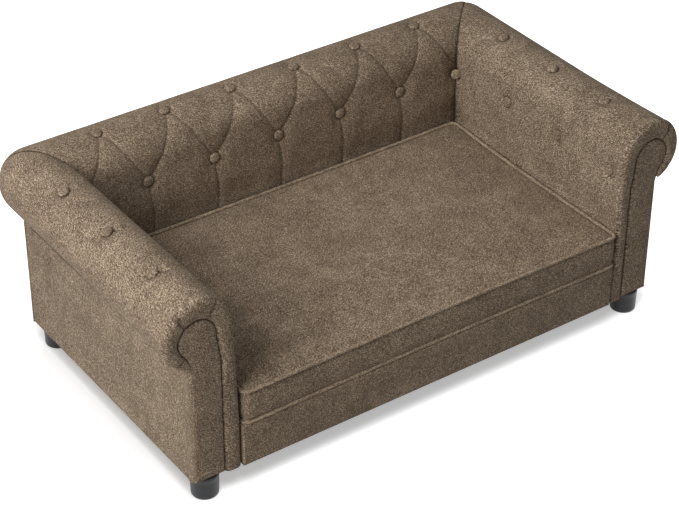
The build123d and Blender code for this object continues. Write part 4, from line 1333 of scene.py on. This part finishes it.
# Spunbonded sheet: its dots of bonded thread, 2.4 mm apart, give the dull black a fine speckle.
spun, spun_tree = blank_material("spunbonded_black_polypropylene")
dots = add_node(
    spun_tree,
    "ShaderNodeTexVoronoi",
    {},
    {"Vector": add_node(spun_tree, "ShaderNodeTexCoord").outputs["Object"], "Scale": 420},
)
dotted = add_node(
    spun_tree,
    "ShaderNodeMapRange",
    {},
    {"Value": dots.outputs["Distance"], "From Min": 0.1, "From Max": 0.5},
)
spun_colour = add_node(spun_tree, "ShaderNodeValToRGB", {}, {"Fac": dotted.outputs[0]})
spun_colour.color_ramp.elements[0].color = linear("#101012")
spun_colour.color_ramp.elements[1].color = linear("#26262a")
spun_bump = add_node(
    spun_tree,
    "ShaderNodeBump",
    {},
    {"Height": dotted.outputs[0], "Strength": 0.3, "Distance": 0.0004},
)
spun_surface = add_node(
    spun_tree,
    "ShaderNodeBsdfPrincipled",
    {},
    {
        "Base Color": spun_colour.outputs["Color"],
        "Roughness": 0.8,
        "Normal": spun_bump.outputs[0],
    },
)
add_node(spun_tree, "ShaderNodeOutputMaterial", {}, {"Surface": spun_surface.outputs[0]})
low, high = (-between_arms, deck_front, 43), (between_arms, deck_rear, 44)
dust = put_sheet("dust_sheet", "dust_cover", low, high, spun)


# Frame inside: pine rails, slats, ribs and blocks, birch plywood deck and boards, and grey
# fibreboard bent round the rolls under the foam. Glued and stapled, mostly out of sight.
def timber(name, grain_scale, dark, light, plies=False):
    """Sawn wood: noise stretched along the grain, and for plywood the layers on its edges too.

    A grain scale is a metre over the size of a streak: 150 is 7 mm across the grain and 9 is
    110 mm along it. The plies, a light and a dark one each 2.9 mm, are waves up the board.
    """
    wood, tree = blank_material(name)
    place = add_node(tree, "ShaderNodeTexCoord").outputs["Object"]
    scaled = add_node(tree, "ShaderNodeMapping", {}, {"Vector": place, "Scale": grain_scale})
    streaks = add_node(
        tree,
        "ShaderNodeTexNoise",
        {},
        {"Vector": scaled.outputs[0], "Scale": 1.0, "Detail": 5.0, "Distortion": 0.6},
    ).outputs["Fac"]
    if plies:
        layers = add_node(
            tree,
            "ShaderNodeTexWave",
            {"bands_direction": "Z"},
            {"Vector": place, "Scale": 110, "Distortion": 0.4, "Detail": 1},
        ).outputs["Fac"]
        streaks = add_node(
            tree,
            "ShaderNodeMath",
            {"operation": "MULTIPLY_ADD"},
            {0: layers, 1: 0.12, 2: streaks},
        ).outputs[0]
    ramp = add_node(tree, "ShaderNodeValToRGB", {}, {"Fac": streaks})
    ramp.color_ramp.elements[0].position = 0.3
    ramp.color_ramp.elements[0].color = linear(dark)
    ramp.color_ramp.elements[1].position = 0.75
    ramp.color_ramp.elements[1].color = linear(light)
    bump = add_node(
        tree, "ShaderNodeBump", {}, {"Height": streaks, "Strength": 0.25, "Distance": 0.0006}
    )
    surface = add_node(
        tree,
        "ShaderNodeBsdfPrincipled",
        {},
        {"Base Color": ramp.outputs["Color"], "Roughness": 0.68, "Normal": bump.outputs[0]},
    )
    add_node(tree, "ShaderNodeOutputMaterial", {}, {"Surface": surface.outputs[0]})
    return wood


def finish_nodes(material, *nodes):
    """Give CAD nodes one material in place of what the frame gave them."""
    for node in nodes:
        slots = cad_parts[node].data.materials
        slots.clear()
        slots.append(material)


pine_tones = ("#b48a55", "#dcbc8b")
long_pine = timber("sawn_pine_along_sofa", (9, 150, 150), *pine_tones)
deep_pine = timber("sawn_pine_front_to_back", (150, 9, 150), *pine_tones)
upright_pine = timber("sawn_pine_upright", (150, 150, 9), *pine_tones)
birch_ply = timber("birch_plywood", (14, 120, 120), "#c39a63", "#e3c697", plies=True)
fibreboard = timber("bent_fibreboard", (260, 260, 260), "#6e5a43", "#94795a")
finish_nodes(long_pine, "base_front_rail", "base_rear_rail", "back_rails")
finish_nodes(deep_pine, "base_left_rail", "base_right_rail", "base_slats")
finish_nodes(deep_pine, "left_arm_rails", "right_arm_rails")
finish_nodes(upright_pine, "corner_blocks")
finish_nodes(birch_ply, "seat_deck", "back_bottom_board", "back_ribs")
for name in ("left", "right"):
    boards = [f"{name}_arm_{board}" for board in ("bottom_board", "front_board", "ribs")]
    finish_nodes(birch_ply, *boards)
    finish_nodes(fibreboard, f"{name}_arm_liner")
finish_nodes(fibreboard, "back_liner")


# Fixings: bolts, tee nuts, hanger bolts and inserts of rolled steel, plated with zinc. The
# plating's spangle, 2 mm wide, makes the pale metal shine in patches.
plated, plated_tree = blank_material("zinc_plated_steel")
spangle = add_node(
    plated_tree,
    "ShaderNodeTexVoronoi",
    {},
    {"Vector": add_node(plated_tree, "ShaderNodeTexCoord").outputs["Object"], "Scale": 500},
)
plated_colour = add_node(
    plated_tree, "ShaderNodeValToRGB", {}, {"Fac": spangle.outputs["Distance"]}
)
plated_colour.color_ramp.elements[0].color = linear("#a9adb2")
plated_colour.color_ramp.elements[1].color = linear("#c6c9cb")
plated_rough = add_node(
    plated_tree,
    "ShaderNodeMapRange",
    {},
    {"Value": spangle.outputs["Distance"], "To Min": 0.28, "To Max": 0.42},
)
plated_surface = add_node(
    plated_tree,
    "ShaderNodeBsdfPrincipled",
    {},
    {
        "Base Color": plated_colour.outputs["Color"],
        "Metallic": 1.0,
        "Roughness": plated_rough.outputs[0],
    },
)
add_node(plated_tree, "ShaderNodeOutputMaterial", {}, {"Surface": plated_surface.outputs[0]})
finish_nodes(plated, "joining_bolts", "joining_nuts", "leg_inserts", "leg_studs")


# Zip: a brown woven polyester tape with coil teeth along its middle, and a zinc slider painted
# to match. The tape is dull with a ridge each 2.4 mm for the teeth, drawn a little coarse, and
# the paint is scuffed and half glossy.
tape, tape_tree = blank_material("woven_polyester_zip_tape")
tape_place = add_node(tape_tree, "ShaderNodeTexCoord").outputs["Object"]
teeth = add_node(
    tape_tree,
    "ShaderNodeTexWave",
    {"bands_direction": "X"},
    {"Vector": tape_place, "Scale": 130, "Distortion": 0.2},
)
tape_colour = add_node(tape_tree, "ShaderNodeValToRGB", {}, {"Fac": teeth.outputs["Fac"]})
tape_colour.color_ramp.elements[0].color = linear("#382e27")
tape_colour.color_ramp.elements[1].color = linear("#5a4c40")
tape_bump = add_node(
    tape_tree,
    "ShaderNodeBump",
    {},
    {"Height": teeth.outputs["Fac"], "Strength": 0.7, "Distance": 0.0006},
)
tape_surface = add_node(
    tape_tree,
    "ShaderNodeBsdfPrincipled",
    {},
    {
        "Base Color": tape_colour.outputs["Color"],
        "Roughness": 0.7,
        "Normal": tape_bump.outputs[0],
    },
)
add_node(tape_tree, "ShaderNodeOutputMaterial", {}, {"Surface": tape_surface.outputs[0]})
finish_nodes(tape, "cushion_zip")

painted, painted_tree = blank_material("painted_zinc_zip_slider")
scuffs = add_node(
    painted_tree,
    "ShaderNodeTexNoise",
    {},
    {
        "Vector": add_node(painted_tree, "ShaderNodeTexCoord").outputs["Object"],
        "Scale": 600,
        "Detail": 3,
    },
)
painted_colour = add_node(painted_tree, "ShaderNodeValToRGB", {}, {"Fac": scuffs.outputs["Fac"]})
painted_colour.color_ramp.elements[0].color = linear("#3a3029")
painted_colour.color_ramp.elements[1].color = linear("#5b4d42")
painted_surface = add_node(
    painted_tree,
    "ShaderNodeBsdfPrincipled",
    {},
    {"Base Color": painted_colour.outputs["Color"], "Roughness": 0.38},
)
add_node(painted_tree, "ShaderNodeOutputMaterial", {}, {"Surface": painted_surface.outputs[0]})
finish_nodes(painted, "zip_slider")
